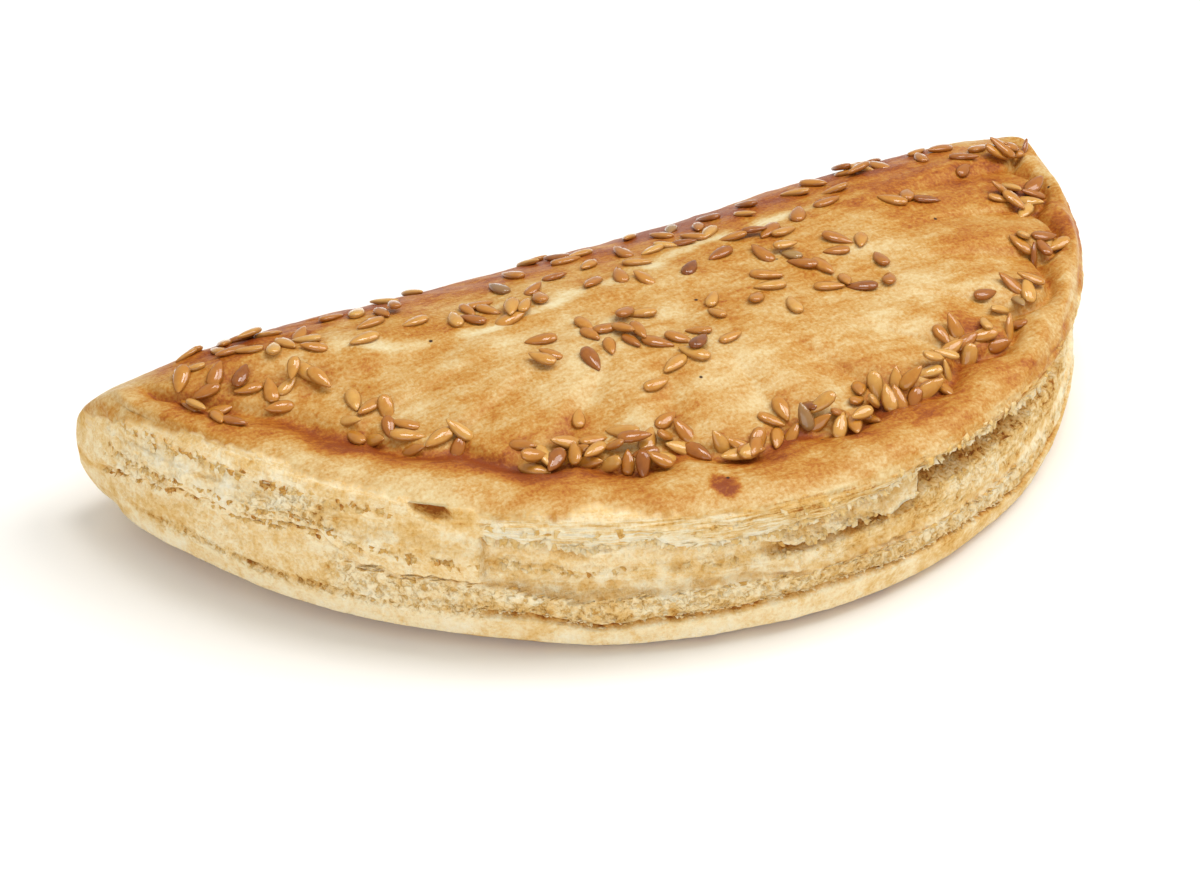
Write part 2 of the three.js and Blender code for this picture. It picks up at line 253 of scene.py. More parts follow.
# %% Noise
def lattice_random(cells, salt):
    """A number from 0 to 1 for each whole-number cell: coordinates times large odd numbers, bits mixed."""
    mask = 0xFFFFFFFF
    x, y, z = np.moveaxis(cells, -1, 0)
    mixed = (x * 374761393 + y * 668265263 + z * 2246822519 + salt * 3266489917) & mask
    mixed = ((mixed ^ (mixed >> 13)) * 1274126177) & mask
    mixed = ((mixed ^ (mixed >> 15)) * 1103515245) & mask
    return (mixed ^ (mixed >> 16)) / mask


def soft_noise(points, size, salt):
    """Random numbers on a lattice of that size in mm, smooth-stepped between its eight corners: -1 to 1."""
    scaled = points / np.asarray(size, float)
    low = np.floor(scaled).astype(np.int64)
    fraction = smooth(scaled - low)
    total = 0
    for corner in itertools.product((0, 1), repeat=3):
        weight = np.prod(np.where(corner, fraction, 1 - fraction), axis=-1)
        total = total + weight * lattice_random(low + corner, salt)
    return 2 * total - 1


def rough_noise(points, size, salt, octaves=3):
    """Soft noise plus its halves: each octave has half the size and half the strength of the one before."""
    size = np.asarray(size, float)
    return sum(soft_noise(points, size / 2 ** i, salt + i) / 2 ** i for i in range(octaves))


def cell_distance(points, size, salt):
    """Distances to the nearest and next nearest of many centres, one at random in each cell of that size."""
    scaled = points / np.asarray(size, float)
    low = np.floor(scaled).astype(np.int64)
    nearest = np.full(points.shape[:-1], np.inf)
    second = nearest.copy()
    for step in itertools.product((-1, 0, 1), repeat=3):
        cell = low + step
        centre = cell + np.stack([lattice_random(cell, salt + i) for i in range(3)], axis=-1)
        distance = np.linalg.norm(centre - scaled, axis=-1)
        second = np.where(distance < nearest, nearest, np.minimum(second, distance))
        nearest = np.minimum(nearest, distance)
    return nearest, second


LAYER_WAVE = (15, 15, 9)  # size of the waves that a layer of dough lies in
LAYER_SWAY = 0.6  # and their height, in layers
LAYER_APART = 64  # whole lattice steps between layers, so that their noises have nothing in common


def layer_noise(points, thickness, size, salt):
    """Rough noise that is one and the same through each wavy layer of that thickness, and new in the next."""
    layer = np.floor(points[..., 2] / thickness + LAYER_SWAY * soft_noise(points, LAYER_WAVE, salt))
    in_layer = np.stack([points[..., 0], points[..., 1], layer * LAYER_APART], axis=-1)
    return rough_noise(in_layer, (size, size, 1), salt + 1)


trial = rough_noise(np.random.default_rng(1).uniform(-50, 50, (4000, 3)), 5, 1)
print("rough noise spreads by", round(float(trial.std()), 2))

# %% [markdown]
# ## The torn side
# Along the cut edge the dough opened into layers, and their torn edges run round it as a few wavy lines: a
# crack above the bottom crust, a ledge above the spongy band, and the lower edge of the crust's lip. It
# could be sculpted, but a profile carried round the outline keeps every layer a line of its own. Each
# station of the profile sits at a share of the way from one line to the next, with an inset of its own, and
# has five values of each: for the left end, for the puffed sheet beside it, for the front, for the torn
# sheet that hangs under the lip, and for the gap on the right.

# %% Lines where layers tore
LIP_HEIGHT = 25.5
# Heights by share of the way round the cut edge.
CRACK_LINE = ((0, 6.5), (0.1, 7.5), (0.2, 6.4), (0.32, 7.6), (0.356, 5.4), (0.42, 6.9), (0.5, 7.8),
              (0.57, 6.5), (0.62, 6), (0.67, 4.5), (1, 5))
LEDGE_LINE = ((0, 11), (0.05, 13.6), (0.12, 16.4), (0.195, 17.2), (0.215, 12.8), (0.29, 12.4), (0.345, 10.4),
              (0.43, 12), (0.54, 10.8), (0.62, 10.2), (1, 10))
LIP_LINE = ((0, 21), (0.29, 22), (0.35, 20.3), (0.38, 21.9), (0.415, 20.3), (0.455, 20.2), (0.515, 22.2),
            (0.557, 23.4), (0.587, 23.5), (0.631, 22.4), (0.676, 21.4), (0.8, 21), (1, 20.5))
TEAR_WAVE = 7  # size of the lines' slow waves, and of their ragged shreds
TEAR_SHRED = 1.5
# Shares of the way round between which one zone turns into the next.
LEFT_END = (0.185, 0.215)
PUFFED_END = (0.288, 0.295)
HUNG_START = (0.445, 0.475)
HUNG_END = (0.554, 0.564)
GAP_END = (0.72, 0.82)

around = np.column_stack([outline, np.zeros(len(outline))])


def ragged(slow, shreds, salt):
    """Slow waves and ragged shreds along the edge, one number for every column."""
    return slow * soft_noise(around, TEAR_WAVE, salt) + shreds * rough_noise(around, TEAR_SHRED, salt + 1, 2)


def tear_line(points, slow, shreds, salt):
    """A height for every column: straight runs between the points, plus waves and shreds."""
    return np.interp(edge, *np.array(points).T) + ragged(slow, shreds, salt)


lines = np.stack([
    np.zeros(len(edge)),
    tear_line(CRACK_LINE, 0.35, 0.15, 11),
    tear_line(LEDGE_LINE, 0.5, 0.45, 21),
    tear_line(LIP_LINE, 0.35, 0.4, 31),
    np.full(len(edge), LIP_HEIGHT),
])
left = 1 - ramp(edge, *LEFT_END)
puffed = (1 - left) * (1 - ramp(edge, *PUFFED_END))
hung = ramp(edge, *HUNG_START) * (1 - ramp(edge, *HUNG_END))
gaping = ramp(edge, *HUNG_END) * (1 - ramp(edge, *GAP_END))
zones = np.stack([left, puffed, 1 - left - puffed - hung - gaping, hung, gaping])
print("lines at the front:", lines[:, CUT_COLUMNS // 3].round(1))

# %% Stations of the side's profile
# Name, rows up to the next station, place in the fold's roll from 0 to 16, the line it starts from, and for
# each zone: share of the way to the next line, inset, and how golden its dough is. One number holds for all.
# Painted shade: the dough in the gap's floor and roof, in the hung and gaping zones, and under the lip is
# given more gold. The crack and groove are more golden too.
STATIONS = (
    ("base ring", 3, 0, 0, 0, 10, 0.8),
    ("base's turn", 4, 1, 0, 0.1, 3.7, 0.8),
    ("bottom crust", 5, 2, 0, 0.34, 1.3, (0.35, 0.35, 0.3, 0.35, 0.5)),
    ("bottom edge", 2, 3, 0, (0.9, 0.9, 0.91, 0.91, 0.91), (0.7, 0.8, 0.5, 0.5, 0.6),
     (0.45, 0.4, 0.4, 0.45, 0.55)),
    ("crack", 2, 4, 1, 0, (1, 1.2, 1.9, 1.9, 1.9), (0.62, 0.58, 0.95, 0.95, 0.95)),
    ("sponge", 11, 5, 1, 0.1, (0.8, 1, 1.1, 1.1, 1.1), (0.5, 0.45, 0.55, 0.55, 0.5)),
    ("ledge", 3, 6, 1, (0.97, 0.95, 0.96, 0.93, 0.9), (0.8, 1, 0.8, 0.8, 1.2), (0.4, 0.35, 0.35, 0.35, 0.35)),
    ("groove", 3, 7, 2, (0, 0, 0.02, 0.02, 0.02), (1.3, 1.5, 1.8, 1.3, 1.3), (0.7, 0.6, 0.55, 0.5, 0.45)),
    ("sheet's foot", 7, 7.4, 2, (0.05, 0.05, 0.07, 0.08, 0.1), (0.3, 0.5, 2.1, 1.1, 1.3),
     (0.32, 0.46, 0.4, 0.5, 0.58)),
    ("face", 4, 8, 2, (0.45, 0.45, 0.45, 0.36, 0.5), (0.1, -0.3, 2.1, 1.4, 1.8),
     (0.37, 0.5, 0.45, 0.55, 0.58)),
    ("gap's floor", 4, 8.4, 2, (0.55, 0.55, 0.57, 0.44, 0.66), (0.1, -0.3, 2.2, 4.3, 7),
     (0.34, 0.5, 0.4, 0.85, 0.75)),
    ("gap's roof", 3, 8.8, 2, (0.65, 0.65, 0.68, 0.56, 0.9), (0.1, -0.2, 2.3, 4.6, 7.5),
     (0.34, 0.5, 0.4, 0.85, 0.95)),
    ("sheet's edge", 8, 9, 2, (0.75, 0.75, 0.78, 0.53, 0.87), (0.1, 0, 2.5, 1.2, 3.2),
     (0.34, 0.5, 0.4, 0.3, 0.45)),
    ("under the lip", 3, 9.4, 2, (0.94, 0.94, 1.02, 1, 1), (0.2, 0.3, 3, 3.2, 3.8),
     (0.35, 0.5, 0.6, 0.6, 0.6)),
    ("lip's edge", 7, 10, 3, (0, 0, -0.05, -0.05, -0.06), (0.2, 0.3, 0.6, 0.7, 0.8),
     (0.34, 0.5, 0.3, 0.5, 0.62)),
    ("lip", 6, 11, 3, 0.55, (0, 0.1, 0, 0, 0), (0.4, 0.5, 0.33, 0.68, 0.72)),
    ("lip's top", 0, 12, 3, 1, 0.9, (0.5, 0.5, 0.45, 0.7, 0.72)),
)
*row_columns, share_column, inset_column, gold_and_shade_column = zip(*STATIONS)
names, row_counts, rolls, bases = (np.array(column) for column in row_columns)
shares, insets, golds_and_shade = (np.array([np.broadcast_to(value, len(zones)) for value in column], float)
                         for column in (share_column, inset_column, gold_and_shade_column))
station_inset = insets @ zones
station_gold_and_shade = golds_and_shade @ zones
next_line = np.minimum(bases + 1, len(lines) - 1)
station_height = mix(lines[bases], lines[next_line], shares @ zones)
at_station = {name: k for k, name in enumerate(names)}
station_height[at_station["sheet's edge"]] += (hung + gaping) * ragged(0.6, 0.5, 35)
station_inset[at_station["groove"]] += (1 - gaping) * ragged(0.7, 0.3, 37)
station_inset[at_station["crack"]] += ragged(0.5, 0.2, 39)
# Every row's place between two stations, as a station number with a fraction.
side_at = [k + np.arange(n) / n for k, n in enumerate(row_counts) if n]
side_at = np.concatenate(side_at + [[len(STATIONS) - 1]])


def along_stations(values, at):
    """Straight blend between the two stations that each row lies between."""
    low = np.minimum(np.floor(at).astype(int), len(values) - 2)
    fraction = (at - low).reshape(-1, *[1] * (values.ndim - 1))
    return mix(values[low], values[low + 1], fraction)


side_height = along_stations(station_height, side_at)
row_gold_and_shade = along_stations(station_gold_and_shade, side_at)
side_roll = along_stations(rolls, side_at)
print("side:", len(side_at), "rows between", len(STATIONS), "stations")

# %% [markdown]
# ## Rim, crease and rolled fold
# The rim rises a little from the lip, then drops into the crease that the fingertips pressed, one scallop
# for each press, and climbs again to the filled middle. A Catmull-Rom curve goes through those few points,
# so the dough turns over softly. At the back the profile is a half round instead, the rolled fold, and near
# the tips one turns into the other.

# %% Rim and fold
CREASE_LEFT = 15  # inset of the crease on the left and right halves
CREASE_RIGHT = 6
CREASE_TIP = 7  # and at the left tip
CREASE_LEAVE = (0, 0.17)
CREASE_TURN = (0.45, 0.8)
CRIMPS = 14
CRIMP_DEPTH = 3.6
CRIMP_MEAN = 0.6
CRIMP_START = (0.1, 0.35)
SHOULDER_END = (0.08, 0.26)  # where the left end's round shoulder sharpens
SHOULDERS = {-3: 0.03, -2: 0.08, -1: 0.18}  # how far it is rounded off at the last stations, by crease inset
FOLD_RADIUS = 12.5
FOLD_TUCK = 0.65  # the fold's underside tucks in by this share of its radius
EDGE_HEIGHT = 25
DOME_HEIGHT = 32
RISE_REACH = 0.5  # share of the way in over which the top rises from the cut edge
ROUNDING = 37  # depth over which it rounds down to the fold in the middle, less towards the tips
ROLL_STATIONS = 16
RIM_ROWS = 26
# Share of the crease's inset, and height above the lip.
RIM = ((0.35, 1.7), (0.7, 1.5), (1, 0.2), (1.22, 1.9))


def crease_inset(at):
    """The crease's mean inset, pushed outwards by each finger press: |sin| has one hump for each press."""
    press = np.abs(np.sin(np.pi * CRIMPS * at))
    leaving = mix(CREASE_TIP, CREASE_LEFT, ramp(at, *CREASE_LEAVE))
    depth = CRIMP_DEPTH * ramp(at, *CRIMP_START)
    return mix(leaving, CREASE_RIGHT, ramp(at, *CREASE_TURN)) + depth * (CRIMP_MEAN - press)


def top_height(x, y):
    """A swell 1 - (1 - t)^2 in from the cut edge, rounded down to the fold along a quarter of an ellipse."""
    out = np.abs(2 * x / LENGTH)
    outness = (out ** CURVE_POWER
               + (np.maximum(0, FOLD_LINE_Y - y) / CURVE_DEPTH) ** CURVE_POWER) ** (1 / CURVE_POWER)
    swelling = 1 - (1 - np.clip((1 - outness) / RISE_REACH, 0, 1)) ** 2
    fold_y = FOLD_LINE_Y + FOLD_BULGE * np.clip(1 - out ** FOLD_POWER, 0, 1) ** (1 / FOLD_POWER)
    reach = mix(ROUNDING, FOLD_RADIUS, np.minimum(1, out ** 2))
    to_fold = np.clip(1 - (fold_y - y) / reach, 0, 1)
    return FOLD_RADIUS + (mix(EDGE_HEIGHT, DOME_HEIGHT, swelling) - FOLD_RADIUS) * np.sqrt(1 - to_fold ** 2)


def catmull_rom(points, at):
    """A smooth curve through points: cubics whose slope at a point is half its neighbours' difference."""
    k = np.minimum(np.floor(at).astype(int), len(points) - 4)
    t = (at - k).reshape(-1, *[1] * (points.ndim - 1))
    a, b, c, d = (points[k + i] for i in range(4))
    return b + 0.5 * t * (c - a + t * (2 * a - 5 * b + 4 * c - d + t * (3 * (b - c) + d - a)))


crease = crease_inset(edge)
for k, share in SHOULDERS.items():
    station_inset[k] += share * crease * (1 - ramp(edge, *SHOULDER_END))
side_inset = along_stations(station_inset, side_at)
rim_points = [np.stack([station_inset[k], station_height[k]]) for k in (-2, -1)]
rim_points += [np.stack([share * crease, np.full(len(edge), LIP_HEIGHT + above)]) for share, above in RIM]
DOME_START = (1.6, 3.2)  # a point of the dome, to steer the curve at its foot
rim_points.append(np.stack([DOME_START[0] * crease, np.full(len(edge), LIP_HEIGHT + DOME_START[1])]))
rim_at = np.linspace(0, len(RIM), RIM_ROWS + 1)[1:]
rim_inset, rim_height = np.moveaxis(catmull_rom(np.stack(rim_points), rim_at), 1, 0)
rim_share = np.interp(rim_at, range(len(RIM) + 1), [0] + [share for share, _ in RIM])

crust_roll = np.append(side_roll, rolls[-1] + rim_at)[:, None]
roll_angle = np.pi * (crust_roll / ROLL_STATIONS - 0.5)
fold_inset = FOLD_RADIUS * (1 - np.cos(roll_angle)) * np.where(roll_angle < 0, FOLD_TUCK, 1)
fold_plan = outline + fold_inset[..., None] * inward
rolled = FOLD_RADIUS * (1 + np.sin(roll_angle))
fold_height = np.where(roll_angle < 0, rolled, top_height(*np.moveaxis(fold_plan, -1, 0)))
crust_inset = mix(fold_inset, np.vstack([side_inset, rim_inset]), cutness)
crust_height = mix(fold_height, np.vstack([side_height, rim_height]), cutness)
SIDE_ROWS = len(side_at)
print("crust:", crust_inset.shape[0], "rows of", crust_inset.shape[1], "points")


def placed(inset, height):
    """Points of the crust from their inset and height: the outline moved in along its inward direction."""
    plan = outline + inset[..., None] * inward
    return np.concatenate([plan, height[..., None]], axis=-1)


crust = placed(crust_inset, crust_height)

# %% [markdown]
# ## Relief of the layers
# Now the surface gets what an oven gives it. The side swells in lumps, splits into thin torn sheets, and
# opens into lace in the spongy band. Bump in a material could fake this, but not along an outline, so the
# points themselves move. Each kind of relief is a noise field times its height in each part of the side. It
# moves the side in and out, and the top up and down, where each finger press on the right also left a small
# pleat across the rim. Pores and layers finer than half a millimetre are left to the material.

# %% Parts of the side
row_name = names[np.minimum(np.floor(side_at).astype(int), len(names) - 1)]


def where_rows(*wanted):
    """One for the rows of the side that start at the named stations, with soft ends, and zero elsewhere."""
    hit = np.isin(row_name, wanted).astype(float)
    soft = np.convolve(np.pad(hit, 1, mode="edge"), (0.25, 0.5, 0.25), mode="valid")
    return soft[:, None] * np.ones(len(edge))


LEFT_SPONGE = 0.2  # how much of the sponge shows at the left end
side = crust[:SIDE_ROWS]
upper = where_rows("sheet's foot", "face", "gap's floor", "gap's roof", "sheet's edge", "under the lip",
                   "lip's edge")
faces = (1 - left - puffed) * where_rows("sheet's foot", "face", "sheet's edge")
part = {
    "upper": upper,
    "upper left": left * upper,
    "upper puffed": puffed * upper,
    "lower left": left * where_rows("sponge", "crack"),
    "sponge": mix(1, LEFT_SPONGE, left) * where_rows("sponge"),
    "faces": faces,
    "gaping faces": gaping * faces,
    "lip": (1 - left - puffed) * where_rows("lip's edge", "lip"),
    "gap": (hung + gaping) * where_rows("gap's floor", "gap's roof"),
    "base": where_rows("base's turn", "bottom crust", "bottom edge"),
}


def in_parts(amounts):
    """Each part of the side times its amount, all added up."""
    return sum(amount * part[name] for name, amount in amounts.items())


print("parts of the side:", {name: int((share > 0.5).sum()) for name, share in part.items()}, "points")

# %% Relief
# Height of each kind of relief in each part of the side.
FINE_RELIEF = {
    "pits": {"sponge": -0.2, "gaping faces": -0.12},
    "lace": {"sponge": 0.1},
    "thin layers": {"lip": 0.2},
    "thick layers": {"faces": 0.3, "gap": 0.28, "upper left": 0.22, "upper puffed": 0.2},
    "sponge layers": {"sponge": 0.2, "lower left": 0.12},
    "crumbs": {"sponge": 0.2, "faces": 0.12, "upper": 0.14, "upper left": 0.22, "gap": 0.1, "lip": 0.1,
               "base": 0.05},
}
COARSE_RELIEF = {
    "lumps": {"upper left": 0.4, "upper puffed": 0.4, "sponge": 0.3, "faces": 0.4, "gap": 0.4, "base": 0.2},
    "blocks": {"faces": 0.4, "lower left": 0.3, "upper left": 0.35},
}
PIT_EDGE = (0.55, 0.15)  # where a pit starts and where it is full, in sizes of its cell
LACE_WIDTH = 0.3
near, next_near = cell_distance(side, (1.3, 1.3, 1), 61)
field = {
    "pits": ramp(near, *PIT_EDGE),
    "lace": smooth(1 - (next_near - near) / LACE_WIDTH),
    "thin layers": layer_noise(side, 0.65, 4, 81),
    "thick layers": layer_noise(side, 1.9, 3.5, 84),
    "sponge layers": layer_noise(side, 1.1, 2.2, 87),
    "crumbs": rough_noise(side, 1.3, 91, 2),
    "lumps": rough_noise(side, (7, 7, 5), 41),
    "blocks": 0.5 - cell_distance(side, (4.2, 4.2, 3.4), 51)[0],
}


def all_relief(heights):
    """Every field times the height that it has in each part of the side, all added up."""
    return sum(field[kind] * in_parts(by_part) for kind, by_part in heights.items())


fine = all_relief(FINE_RELIEF)
coarse = all_relief(COARSE_RELIEF)
print("fine relief from", fine.min().round(2), "to", fine.max().round(2), "mm")

# %% Tear, pleats and swells
# A lens-shaped tear just under the lip, at the front left.
TEAR_AT = (0.2615, 25)  # share of the way round, and height
TEAR_SIZE = (0.013, 1.4)
TEAR_SLOPE = 0.5
TEAR_FULLNESS = 1.2
TEAR_DEPTH = 2.2
tear_way = (edge - TEAR_AT[0]) / TEAR_SIZE[0]
tear_rise = (side[..., 2] - TEAR_AT[1] + TEAR_SLOPE * tear_way) / TEAR_SIZE[1]
tear = smooth(TEAR_FULLNESS - tear_way ** 2 - tear_rise ** 2)
side_relief = fine + coarse - TEAR_DEPTH * tear
top = crust[SIDE_ROWS:]
rim_across = rim_share[:, None]
PLEAT_HEIGHT = 0.8
PLEAT_SLANT = 0.45  # how far a pleat runs along the rim, in finger presses
PLEAT_CREST = 0.86  # share of a pleat that rises slowly, before it drops
PLEATS_START = (0.5, 0.7)
pleat_way = (CRIMPS * edge - PLEAT_SLANT * rim_across) % 1
pleats = np.interp(pleat_way, (0, PLEAT_CREST, 1), (-0.5, 0.5, -0.5)) * ramp(edge, *PLEATS_START)
pleats = PLEAT_HEIGHT * pleats * np.sin(np.pi * np.clip(rim_across, 0, 1))
SWELL_HEIGHT, SWELL_SIZE = 0.45, 13
DIMPLE_HEIGHT, DIMPLE_SIZE = 0.12, 2.5


def swell(points):
    """Slow hand-sized waves and small dimples of the top."""
    dimples = DIMPLE_HEIGHT * rough_noise(points, DIMPLE_SIZE, 111, 2)
    return SWELL_HEIGHT * rough_noise(points, SWELL_SIZE, 101) + dimples


relief = np.vstack([mix(swell(side), side_relief, cutness), swell(top) + pleats * cutness])
on_top = np.append(np.zeros(SIDE_ROWS), np.ones(RIM_ROWS))[:, None]
upness = mix(np.clip(np.sin(roll_angle), 0, 1), on_top, cutness)
crust = placed(crust_inset - relief * (1 - upness), crust_height + relief * upness)
print("relief from", relief.min().round(2), "to", relief.max().round(2), "mm")

# %% [markdown]
# ## The filled middle and the base
# The middle is a pillow: it swells quickly from the crease, then levels out to a crown. A grid over it
# would leave a ragged edge, so rings of points shrink towards the crown, and every few rings half of the
# points are dropped, so that the faces stay about square. Underneath, the base is nearly flat, with its
# ends curled up where the dough shrank in the oven.

# %% Middle and base
CROWN = np.array([2, 10])
CONTACT = np.array([2, 0, 0])
FLAT_HALF_LENGTH = 30
CURL_LEFT = 3.5
CURL_RIGHT = 1
CURL_POWER = 1.5
TAPER_LEFT = 0.12
TAPER_POWER = 4
# How far towards the crown, or out from the middle of the base, each ring lies, by its number of points.
DOME_RINGS = {768: (0.02, 0.045, 0.07, 0.1), 384: np.linspace(0.13, 0.34, 10),
              192: np.linspace(0.37, 0.66, 12), 96: np.linspace(0.7, 0.86, 6), 48: np.linspace(0.89, 0.96, 3)}
BASE_RINGS = {96: (0.2,), 192: (0.4,), 384: (0.6,)}
FOOT_REACH = 0.5  # step by which the foot's own height has faded out
SWELL_REACH = 1 / 6  # and by which the swells are at their full height


def dome_ring(step, count):
    """The foot of the dome moved a step towards the crown and up to the dome's height."""
    foot = crust[-1, ::len(outline) // count]
    plan = mix(foot[:, :2], CROWN, step)
    footing = (foot[:, 2] - top_height(*foot[:, :2].T)) * (1 - smooth(step / FOOT_REACH))
    ring = np.column_stack([plan, top_height(*plan.T) + footing])
    ring[:, 2] += smooth(step / SWELL_REACH) * swell(ring)
    return ring


def settled(points):
    """The ends after baking: thinner on the left, and lifted off the table by a power of the way out."""
    x = points[..., 0]
    out = np.clip((np.abs(x) - FLAT_HALF_LENGTH) / (LENGTH / 2 - FLAT_HALF_LENGTH), 0, 1)
    thin = np.where(x < 0, TAPER_LEFT, 0) * out ** TAPER_POWER
    curl = np.where(x < 0, CURL_LEFT, CURL_RIGHT) * out ** CURL_POWER
    return np.concatenate([points[..., :2], (points[..., 2] * (1 - thin) + curl)[..., None]], axis=-1)


dome_rings = [dome_ring(step, count) for count, steps in DOME_RINGS.items() for step in steps]
crown = np.array([[*CROWN, top_height(*CROWN)]])
base_rings = [mix(CONTACT, crust[0, ::len(outline) // count], out)
              for count, outs in BASE_RINGS.items() for out in outs]
rings = [CONTACT[None], *base_rings, *[settled(ring) for ring in (*crust, *dome_rings)], settled(crown)]
print("rings:", len(rings), "points:", sum(map(len, rings)))

# %% Joining rings into faces
def band_faces(lower_start, lower_count, upper_start, upper_count):
    """Faces between two closed rings whose counts are equal, one double the other, or one a single point."""
    count = min(c for c in (lower_count, upper_count) if c > 1)
    i = np.arange(count)
    j = (i + 1) % count
    if lower_count == upper_count:
        return [np.column_stack([lower_start + i, lower_start + j, upper_start + j, upper_start + i])]
    if upper_count == 1:
        return [np.column_stack([lower_start + i, lower_start + j, np.full(count, upper_start)])]
    if lower_count == 1:
        return [np.column_stack([np.full(count, lower_start), upper_start + j, upper_start + i])]
    middle = 2 * i + 1
    far = (2 * i + 2) % (2 * count)
    if lower_count > upper_count:
        l0, l1, l2, u0, u1 = (lower_start + 2 * i, lower_start + middle, lower_start + far,
                              upper_start + i, upper_start + j)
        triples = [(l0, l1, u0), (l1, u1, u0), (l1, l2, u1)]
    else:
        l0, l1, u0, u1, u2 = (lower_start + i, lower_start + j, upper_start + 2 * i,
                              upper_start + middle, upper_start + far)
        triples = [(l0, u1, u0), (l0, l1, u1), (l1, u2, u1)]
    return [np.column_stack(triple) for triple in triples]


def make_piece(name, points, face_groups, material):
    """A smooth-shaded mesh object at the origin from points in mm and arrays of faces with 3 or 4 corners."""
    mesh = bpy.data.meshes.new(name)
    sizes = np.concatenate([np.full(len(group), group.shape[1]) for group in face_groups])
    corners = np.concatenate([group.ravel() for group in face_groups])
    mesh.vertices.add(len(points))
    mesh.vertices.foreach_set("co", (points * MM).astype(np.float32).ravel())
    mesh.loops.add(len(corners))
    mesh.loops.foreach_set("vertex_index", corners.astype(np.int32))
    mesh.polygons.add(len(sizes))
    mesh.polygons.foreach_set("loop_start", (np.cumsum(sizes) - sizes).astype(np.int32))
    mesh.polygons.foreach_set("use_smooth", np.ones(len(sizes), bool))
    mesh.update(calc_edges=True)
    mesh.validate()
    mesh.materials.append(material)
    piece = bpy.data.objects.new(name, mesh)
    scene.collection.objects.link(piece)
    print(name, "has", int((sizes - 2).sum()), "triangles")
    return piece


def paint(piece, name, values):
    """Stores one number for each point of a piece, for its material to read."""
    layer = piece.data.attributes.new(name, "FLOAT", "POINT")
    layer.data.foreach_set("value", np.asarray(values, np.float32).ravel())


starts = np.cumsum([0] + [len(ring) for ring in rings])
pastry_faces = [group for k in range(len(rings) - 1)
                for group in band_faces(starts[k], len(rings[k]), starts[k + 1], len(rings[k + 1]))]
pastry_points = np.vstack(rings)
print("pastry box:", pastry_points.min(0).round(1), pastry_points.max(0).round(1))

# %% [markdown]
# ## Where the seeds lie
# The seeds were strewn by hand over the wet wash. Many slid into the crease and lie there in drifts, and
# the rest lie in patches over the top. The solid has the same seeds, so the places are drawn by the same
# rule: a simple random stream with a fixed start, one group after another, trying again where a seed would
# lie too close to another one.

# %% Draw the seeds
# Share of the way round from and to, spread inwards from the crease, and number of seeds.
CREASE_SEEDS = ((0.19, 0.255, 8, 10), (0.267, 0.287, 4, 3), (0.325, 0.44, 5, 24), (0.44, 0.475, 3, 7),
                (0.49, 0.555, 6, 14), (0.56, 0.63, 5, 14), (0.645, 0.695, 6, 9), (0.705, 0.75, 6, 7),
                (0.78, 0.82, 6, 6), (0.85, 0.89, 8, 8), (0.945, 0.965, 5, 7))
# Middle, half length and half width of an oval patch, and number of seeds.
STREWN_SEEDS = ((-67, 23.5, 12.5, 14, 31), (-37, 27, 15, 11, 12), (-24, 16, 6, 4, 5), (-8, 25, 13, 16, 15),
                (16, 24, 18, 14, 20), (55, 26, 24, 13, 21), (27, 1.5, 15, 10.5, 16), (-5, -3, 15, 9, 15),
                (-21, 2, 13, 6, 7), (-20, -16, 24, 7, 5))
RANDOM_START = 20
SEED_GAP = 2.1
SEED_TRIES = 30
SEED_SIZES = (0.85, 1.15)
CREASE_TILT = 0.6
STREWN_TILT = 0.15


def random_stream(state):
    """Endless numbers from 0 to 1: state = state * 1664525 + 1013904223, cut to 32 bits."""
    while True:
        state = (state * 1664525 + 1013904223) % 2 ** 32
        yield state / 2 ** 32


def crease_place(stream, start, end, spread):
    """A point in the crease between two shares of the way round, moved in by up to the spread."""
    at = np.array([mix(start, end, next(stream))])
    point = half_outline(at, True)
    return (point + inward_from(point) * (crease_inset(at) + spread * next(stream)))[0]


def strewn_place(stream, x, y, half_length, half_width):
    """A point spread evenly over an oval: an even angle, and the square root of an even number as reach."""
    angle = 2 * np.pi * next(stream)
    reach = np.sqrt(next(stream))
    return np.array([x + half_length * reach * np.cos(angle), y + half_width * reach * np.sin(angle)])


def draw_seeds():
    """Every seed's place in plan, and its heading, size and lean."""
    stream = random_stream(RANDOM_START)
    groups = [(crease_place, group, CREASE_TILT) for group in CREASE_SEEDS]
    groups += [(strewn_place, group, STREWN_TILT) for group in STREWN_SEEDS]
    places, poses = [], []
    for draw, (*shape, count), tilt in groups:
        for _ in range(count):
            place = draw(stream, *shape)
            for _ in range(1, SEED_TRIES):
                if not places or np.hypot(*(np.array(places) - place).T).min() > SEED_GAP:
                    break
                place = draw(stream, *shape)
            places.append(place)
            heading = 2 * np.pi * next(stream)
            size = mix(*SEED_SIZES, next(stream))
            poses.append((heading, size, tilt * (2 * next(stream) - 1)))
    return np.array(places), np.array(poses)


seed_places, seed_poses = draw_seeds()
print(len(seed_places), "seeds, the first at", seed_places[0].round(2))
